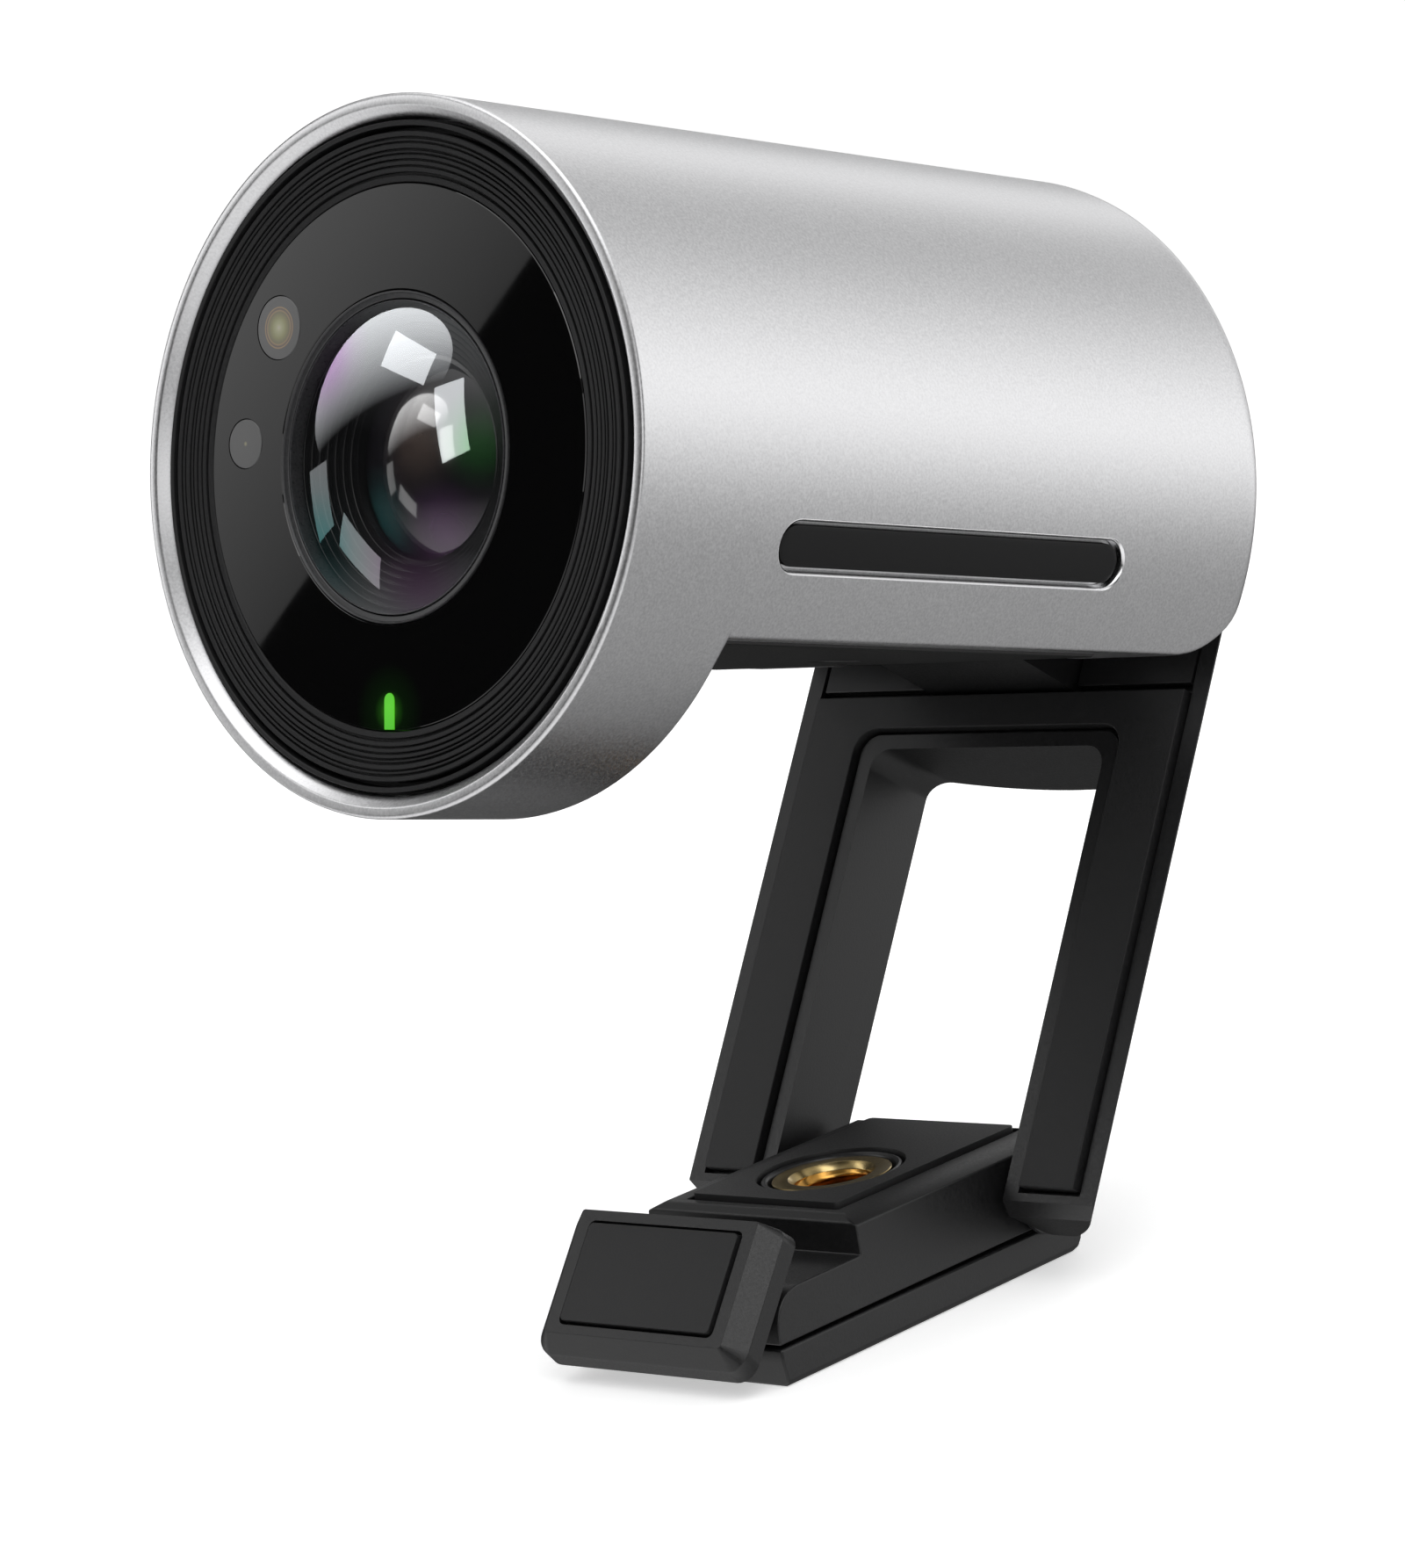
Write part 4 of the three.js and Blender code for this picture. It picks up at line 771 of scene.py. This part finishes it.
# ---------------------------------------------------------------- foot
FOOT_HALF = 10.7
SPLIT, COVER_TOP = -7.2, -7.5
nose = arc(-8.65, -6.3, 2.95, 180, 90, 12)
housing_side = [(-11.6, SPLIT)] + nose + [(-1.75, -3.35), (-1.75, -0.9), (-1.2, -0.4), (21.6, -0.4),
                                          (22.4, -1.1), (23.1, -2.6), (23.35, -4.7), (23.35, SPLIT)]
housing_across = [(-FOOT_HALF, SPLIT), (FOOT_HALF, SPLIT), (FOOT_HALF, -1.05), (9.2, -0.4), (-9.2, -0.4),
                  (-FOOT_HALF, -1.05)]
housing = meet(prism(housing_side, "X", -12, 12), prism(housing_across, "Y", -14, 25))
bay = block(-4.55, 4.55, -12.8, -6.2, -8.5, -2)
pin_slot = prism([(-8.65 - 1.1, -9), (-8.65 + 1.1, -9)] + arc(-8.65, -6.3, 1.1, 0, 180, 10), "X", -8, 8)
housing = cut(housing, block(-7.75, 7.75, -0.3, 21.4, -1.1, 1),
              standing(lathe([(5.8, -1.7), (5.8, 1)], 96), 0, NUT_Y),
              standing(lathe([(4.25, -9), (4.25, 0)], 64), 0, NUT_Y), bay, pin_slot)
for sign in (1, -1):
    xs = sorted((sign * 5.0, sign * 12.0))
    housing = cut(housing, lying(lathe([(1.35, xs[0]), (1.35, xs[1])], 32), PIVOT.y, PIVOT.z))
piece("foot_block", soften(housing, 0.2, 3), "foot", BLACK, "black_plastic", "foot_housing")

cover_side = [(-11.6, COVER_TOP), (-11.6, -8.5), (-11.3, -10.4), (22.2, -10.4), (22.75, -10.05),
              (23.15, -9.55), (23.35, -8.8), (23.35, COVER_TOP)]
cover_across = [(-FOOT_HALF, COVER_TOP), (-FOOT_HALF, -10.05), (-FOOT_HALF + 0.35, -10.4),
                (FOOT_HALF - 0.35, -10.4), (FOOT_HALF, -10.05), (FOOT_HALF, COVER_TOP)]
lid = meet(prism(cover_side, "X", -12, 12), prism(cover_across, "Y", -14, 25))
lid = cut(lid, block(-4.55, 4.55, -12.8, -6.2, -9.3, -6))
FOOT_SCREWS = (("front", -2.9), ("rear", 16.0))
for _, s in FOOT_SCREWS:
    lid = cut(lid, standing(lathe([(1.9, -12), (1.9, -9.05)], 48), 0, s),
              standing(lathe([(1.15, -9.5), (1.15, -7)], 32), 0, s))
piece("foot_lid", soften(lid, 0.2, 3), "foot", BLACK, "black_plastic", "foot_cover")
for end, s in FOOT_SCREWS:
    screw(f"foot_lid_screw_{end}", s, -10.1, -5.0, -9.4, 1.6, 0.85, "foot", f"foot_screw_{end}")

top_pad = cut(prism(rounded(-7.45, 7.45, 0, 21.1, 0.45, 4), "Z", -0.8, 0),
              standing(lathe([(5.8, -3), (5.8, 2)], 128), 0, NUT_Y))
piece("foot_top_pad", soften(top_pad, 0.12, 2), "foot", RUBBER, "rubber_pad", "foot_pad")
piece("nut_collar", standing(lathe([(4.94, -1.4), (5.52, -1.4), (5.52, -0.42), (5.42, -0.26), (5.24, -0.2),
                                    (5.06, -0.3), (4.96, -0.48)], 128, True), 0, NUT_Y), "foot", SMOOTH_BLACK,
      "black_plastic", "insert_collar")
piece("nut_flange", standing(lathe([(3.05, -1.2), (4.66, -1.4), (4.66, -0.42), (4.6, -0.36), (3.5, -0.36),
                                    (3.42, -0.38), (3.0, -0.86), (2.98, -0.95)], 128, True), 0, NUT_Y),
      "foot", BRASS, "brass_nut", "tripod_insert")


def thread(r_in, r_out, pitch, top, low):
    """Screw thread cut in the nut: one helical groove down the bore, with the nut's outside round it."""
    segments, per_turn = 72, 12
    rows = int((top - low) / pitch * per_turn)
    rings = []
    for j in range(rows + 1):
        n = top + (low - top) * j / rows
        ring = []
        for i in range(segments):
            phase = ((top - n) / pitch + i / segments) % 1.0
            deep = 1 - abs(2 * phase - 1)
            r = r_in + (r_out - r_in) * min(1.0, max(0.0, deep * 1.35 - 0.15))
            ring.append((r * math.cos(2 * math.pi * i / segments), n,
                         r * math.sin(2 * math.pi * i / segments)))
        rings.append(ring)
    rings += [circle(r, n, segments) for r, n in ((3.9, low), (3.9, -1.45), (3.3, -1.3))]
    return loft(rings + rings[:1], False)


piece("nut_thread", standing(thread(2.62, 2.97, 1.27, -0.9, -7.1), 0, NUT_Y), "foot", BRASS_THREAD,
      "brass_nut", angle=50)

for label, sign in SIDES:
    xs = sorted((sign * 5.4, sign * 13.6))
    pin = lathe([(0.02, xs[0]), (0.9, xs[0]), (1.0, xs[0] + 0.1), (1.0, xs[1] - 0.1), (0.9, xs[1]),
                 (0.02, xs[1])], 36)
    piece(f"foot_pin_{label}", lying(pin, PIVOT.y, PIVOT.z), "foot", STEEL, "steel",
          f"foot_hinge_pin_{label}")
    xs = sorted((sign * 11.0, sign * 11.7))
    hub = lathe([(1.35, xs[0]), (3.08, xs[0]), (3.2, xs[0] + 0.12), (3.2, xs[1] - 0.12), (3.08, xs[1]),
                 (1.35, xs[1])], 64, True)
    piece(f"foot_washer_piece_{label}", lying(hub, PIVOT.y, PIVOT.z), "foot", SMOOTH_BLACK, "dark_metal",
          f"foot_washer_{label}")

# ---------------------------------------------------------------- clip plate
LEVELS = [(0.0, 9.0, -8.7, 1.1, 0.25, 0.3), (-0.02, 9.02, -8.72, 1.1, 0.27, 0.32),
          (-1.35, 10.58, -9.9, 1.1, 0.9, 1.5), (-1.45, 10.6, -9.98, 1.1, 0.95, 1.55),
          (-2.8, 10.6, -10.3, 1.1, 1.0, 1.6)]
plate = loft([[(x, u, w) for x, u in rounded(-half, half, low, high, r, 7, r_low)]
              for w, half, low, high, r, r_low in LEVELS])
arm = join(prism([(CLIP_PIN.y - 1.95, -1.8), (CLIP_PIN.y - 1.95, CLIP_PIN.z), (CLIP_PIN.y + 1.95, CLIP_PIN.z),
                  (CLIP_PIN.y + 1.95, -1.8)], "X", -4.2, 4.2),
           lying(lathe([(1.95, -4.2), (1.95, 4.2)], 64), CLIP_PIN.y, CLIP_PIN.z))
seat = prism(rounded(-7.85, 7.85, -8.0, 0.27, 0.55, 5), "Z", -0.9, 2)
plate = cut(join(plate, arm), seat, lying(lathe([(1.1, -6), (1.1, 6)], 32), CLIP_PIN.y, CLIP_PIN.z))
piece("clip_body", soften(plate, 0.09, 2, 22), "clip", BLACK, "black_plastic", "clip_plate")
pad = prism(rounded(-7.6, 7.6, -7.75, 0.02, 0.4, 5), "Z", -0.6, 0.25)
piece("clip_rubber", soften(pad, 0.07, 2), "clip", RUBBER, "rubber_pad", "clip_pad")
rod = lathe([(0.02, -7.6), (0.65, -7.6), (0.75, -7.5), (0.75, 7.5), (0.65, 7.6), (0.02, 7.6)], 32)
clip_pin = lying(rod, CLIP_PIN.y, CLIP_PIN.z)
clip_pin.data.transform(FOOT.inverted() @ CLIP)
piece("clip_rod", clip_pin, "foot", STEEL, "steel", "clip_pin")

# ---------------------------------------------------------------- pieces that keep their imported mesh
KEPT = {
    "lens_holder": SMOOTH_BLACK, "image_sensor": CHIP, "sensor_board": BOARD, "main_board": BOARD,
    "mic_board_right": BOARD, "mic_board_left": BOARD, "heat_spreader": ALU,
}
for name, finish in KEPT.items():
    ob = frame["nodes"][name]
    for slot in ob.material_slots:
        slot.link = "OBJECT"
        slot.material = finish

# ---------------------------------------------------------------- floor, light, camera
EYE_R = (9.9613, -9.1788, -1.0155)  # from the head's origin, in shell radii
LENS_MM = 112.8
AZIMUTH, PITCH, ROLL = math.radians(43.63), math.radians(0.47), math.radians(-0.2)
forward = Vector((-math.sin(AZIMUTH) * math.cos(PITCH), math.cos(AZIMUTH) * math.cos(PITCH), math.sin(PITCH)))
right = Vector((math.cos(AZIMUTH), math.sin(AZIMUTH), 0))
up = right.cross(forward)
right2 = right * math.cos(ROLL) + up * math.sin(ROLL)
up2 = up * math.cos(ROLL) - right * math.sin(ROLL)
basis = Matrix((right2, up2, -forward)).transposed().to_4x4()
camera_data = bpy.data.cameras.new("camera")
camera_data.sensor_fit = "VERTICAL"
camera_data.sensor_height = 36.0
camera_data.lens = LENS_MM
camera_data.clip_start, camera_data.clip_end = 0.01, 50
camera = bpy.data.objects.new("camera", camera_data)
bpy.context.scene.collection.objects.link(camera)
camera.matrix_world = at(HEAD @ (Vector(EYE_R) * R)) @ about_x(TILT) @ basis
bpy.context.scene.camera = camera


def stage_material(name, tone, glow, **sockets):
    """Matt pale finish with a glow of its own, which keeps the backdrop white."""
    m = material(name, (tone,) * 3, 0.8, Emission_Color=(1, 1, 1, 1), Emission_Strength=glow, **sockets)
    spread_over(m, mottle(m, 60.0), shader(m).inputs["Roughness"], 0.75, 0.85)
    return m


def stage_piece(name, profile, finish):
    """Surface of revolution about the vertical through the object, from (radius, height) in metres."""
    ob = loft([[(x, y, height) for x, height, y in circle(r, high, 96)] for r, high in profile], False)
    ob.name = name
    ob.data.name = name
    ob.data.materials.append(finish)
    for polygon in ob.data.polygons:
        polygon.use_smooth = True
    ob.visible_glossy = False
    return ob


STAGE_R, WALL_HIGH = 5.0, 5.0
FLOOR_GLOW, WALL_GLOW = 0.50, 0.95
floor_finish = stage_material("floor_pale", 0.88, FLOOR_GLOW, Specular_IOR_Level=0.2)
stage_piece("floor", [(0.0005, 0), (1, 0), (4, 0), (STAGE_R, 0)], floor_finish)
wall_finish = stage_material("wall_pale", 0.3, WALL_GLOW)
wall = stage_piece("wall", [(STAGE_R - 0.01, 0.0), (STAGE_R, WALL_HIGH)], wall_finish)
wall.visible_diffuse = wall.visible_shadow = wall.visible_transmission = False

# Soft studio surroundings: behind the head's face by the angle round its axis, in front of it by height.
AROUND = [
    (-180, 0.06), (-168, 0.03), (-150, 0.03), (-132, 0.11), (-112, 0.22), (-90, 0.24), (-70, 0.33),
    (-45, 0.36), (-25, 0.34), (-12, 0.46), (0, 0.82), (10, 1.16), (20, 1.40), (30, 1.30), (42, 1.10),
    (55, 0.88), (68, 0.66), (82, 0.52), (94, 0.44), (106, 0.66), (117, 1.12), (125, 1.46), (132, 1.12),
    (139, 0.10), (150, 0.04), (158, 0.46), (168, 0.26), (180, 0.06),
]
world = bpy.data.worlds.new("world")
world.use_nodes = True
ground = world.node_tree.nodes["Background"]
axes = HEAD.to_3x3().normalized()
direction = node(world, "ShaderNodeTexCoord").outputs["Generated"]


def along(axis):
    dot = node(world, "ShaderNodeVectorMath", operation="DOT_PRODUCT")
    wire(world, direction, dot.inputs[0])
    dot.inputs[1].default_value = axis
    return dot.outputs["Value"]


turn = node(world, "ShaderNodeMath", operation="ARCTAN2")
wire(world, along(axes.col[2]), turn.inputs[0])
wire(world, along(axes.col[0]), turn.inputs[1])
rear = ramp_over(world, turn.outputs[0], -math.pi, math.pi,
                 [((deg + 180) / 360, (level / 2,) * 3) for deg, level in AROUND])
front = ramp_over(world, along((0, 0, 1)), -1.0, 1.0, [
    (0.0, (0.52,) * 3), (0.3, (0.44,) * 3), (0.38, (0.26,) * 3), (0.47, (0.03,) * 3), (0.53, (0.012,) * 3),
    (0.64, (0.012,) * 3), (0.72, (0.05,) * 3), (0.86, (0.25,) * 3), (0.93, (0.40,) * 3), (1.0, (0.55,) * 3)])
share = node(world, "ShaderNodeMapRange", **{"From Min": 0.0, "From Max": 0.45})
share.interpolation_type = "SMOOTHSTEP"
wire(world, along(axes.col[1]), share.inputs["Value"])
blend = node(world, "ShaderNodeMix", data_type="RGBA")
wire(world, share.outputs["Result"], blend.inputs[0])
wire(world, front, blend.inputs[6])
wire(world, rear, blend.inputs[7])
wire(world, blend.outputs[2], ground.inputs["Color"])
ground.inputs["Strength"].default_value = 2.0
bpy.context.scene.world = world

CENTRE = Vector((0, 0.0, 0.062))


def area_light(name, matrix, wide, high, radiance, fade=None):
    """Area light of an even radiance, or one that fades over part of its height: from, to, share, share."""
    data = bpy.data.lights.new(name, "AREA")
    data.shape = "RECTANGLE"
    data.size, data.size_y = wide, high
    data.energy = radiance * math.pi * wide * high
    if fade:
        data.use_nodes = True
        emission = data.node_tree.nodes["Emission"]
        split = node(data, "ShaderNodeSeparateXYZ")
        wire(data, node(data, "ShaderNodeNewGeometry").outputs["Parametric"], split.inputs["Vector"])
        spread_over(data, split.outputs["Y"], emission.inputs["Strength"], fade[2], fade[3],
                    **{"From Min": fade[0], "From Max": fade[1]})
    ob = bpy.data.objects.new(name, data)
    bpy.context.scene.collection.objects.link(ob)
    ob.matrix_world = matrix
    ob.visible_camera = False
    return ob


def softbox(name, direction, wide, high, radiance, distance=0.8):
    """Even light that stands in a direction from the middle of the object and faces it, in metres."""
    position = CENTRE + Vector(direction).normalized() * distance
    facing = (CENTRE - position).to_track_quat("-Z", "Y").to_matrix().to_4x4()
    return area_light(name, at(position) @ facing, wide, high, radiance)


def edge_panel(name, first, second, inside, distance, wide, high, radiance, fade):
    """Panel whose straight edge is mirrored in the flat glass along the line through two of its points."""
    mirrored = Vector(EYE_R) * R
    mirrored.y = 2 * GLASS_Y - mirrored.y
    rays = [(Vector((x, GLASS_Y, z)) - mirrored) for x, z in (first, second, inside)]
    axis = (rays[0].normalized() + rays[1].normalized()).normalized()
    a, b, c = [mirrored + ray * ((distance - mirrored.dot(axis)) / ray.dot(axis)) for ray in rays]
    edge = (b - a).normalized()
    across = (c - a) - edge * (c - a).dot(edge)
    across.normalize()
    centre = (a + b) / 2 + across * high * 500  # half its height, in mm
    spin = Matrix((edge, across, edge.cross(across))).transposed()
    if spin.col[2].dot(axis) < 0:
        spin = Matrix((-edge, across, (-edge).cross(across))).transposed()
    turned = (HEAD.to_3x3().normalized() @ spin).to_4x4()
    return area_light(name, at(HEAD @ centre) @ turned, wide, high, radiance, fade)


def flag(light, *shaded):
    """Keeps a light off some pieces, as a black flag in front of it would."""
    collection = bpy.data.collections.new(light.name + "_flag")
    for ob in shaded:
        collection.objects.link(ob)
    for entry in collection.collection_objects:
        entry.light_linking.link_state = "EXCLUDE"
    light.light_linking.receiver_collection = collection


softbox("overhead_box", (0.05, -0.05, 1.0), 1.0, 1.0, 0.85, 0.9)
panel = edge_panel("front_left_panel", (12.9, 12.0), (-13.9, -12.6), (-11.9, 10.0), 450, 0.40, 0.16, 1.8,
                   (0.0, 0.35, 0.3, 1.0))
flag(panel, lens_front, lens_rear, lens_steps)
softbox("right_front_box", (0.76, -0.62, 0.24), 0.5, 0.4, 1.3)
flag(softbox("right_high_box", (0.556, -0.40, 0.72), 0.45, 0.4, 2.4), bpy.data.objects["shell"])


def lens_mirror(r, degrees):
    """Where the lens front, at a polar position on it, mirrors the camera's view to: point and direction."""
    sag = LENS_EDGE - LENS_APEX
    ball = (LENS_R ** 2 + sag ** 2) / (2 * sag)
    middle = Vector((0, LENS_APEX + ball, 0))
    x, z = r * math.cos(math.radians(degrees)), r * math.sin(math.radians(degrees))
    point = Vector((x, middle.y - math.sqrt(ball ** 2 - r ** 2), z))
    normal = (point - middle) / ball
    ray = (point - Vector(EYE_R) * R).normalized()
    return point, ray - normal * 2 * ray.dot(normal)


lens_only = bpy.data.collections.new("lit_by_lens_boxes")
for ob in (lens_front, lens_rear, lens_steps):
    lens_only.objects.link(ob)


def lens_box(name, r0, r1, t0, t1, radiance, fade=None, wider=1.0, shape="RECTANGLE", distance=800):
    """Softbox for the lens alone, even or fading, that shows in it between two radii in mm and two angles."""
    r, t = (r0 + r1) / 2, (t0 + t1) / 2
    rays = [lens_mirror(*spot) for spot in ((r0, t), (r1, t), (r, t0), (r, t1))]
    axis = sum((way for _, way in rays), Vector()).normalized()
    low, high, first, last = [point + way * ((distance - point.dot(axis)) / way.dot(axis))
                              for point, way in rays]
    tall = (high - low).normalized()
    across = last - first
    across -= tall * across.dot(tall)
    side = tall.cross(axis)
    turned = (HEAD.to_3x3().normalized() @ Matrix((side, tall, axis)).transposed()).to_4x4()
    light = area_light(name, at(HEAD @ ((low + high) / 2)) @ turned, across.length * MM * wider,
                       (high - low).length * MM, radiance, fade)
    light.data.shape = shape
    light.light_linking.receiver_collection = lens_only


lens_box("window_box_right", 5.9, 8.35, -4, 39, 4.6)
lens_box("window_box_top", 5.9, 8.35, 50, 88, 4.6)
lens_box("high_front_box", 0.6, 10.3, 30, 150, 5.0, (0.3, 1.0, 0.0, 1.0), 1.5, "ELLIPSE", 900)
lens_box("low_left_box", 5.9, 8.3, 184, 222, 1.2)
lens_box("low_box", 5.9, 8.3, 231, 268, 1.6)

view = bpy.context.scene.view_settings
view.view_transform = "Standard"
view.look = "None"
view.exposure = 0.0
view.gamma = 1.0
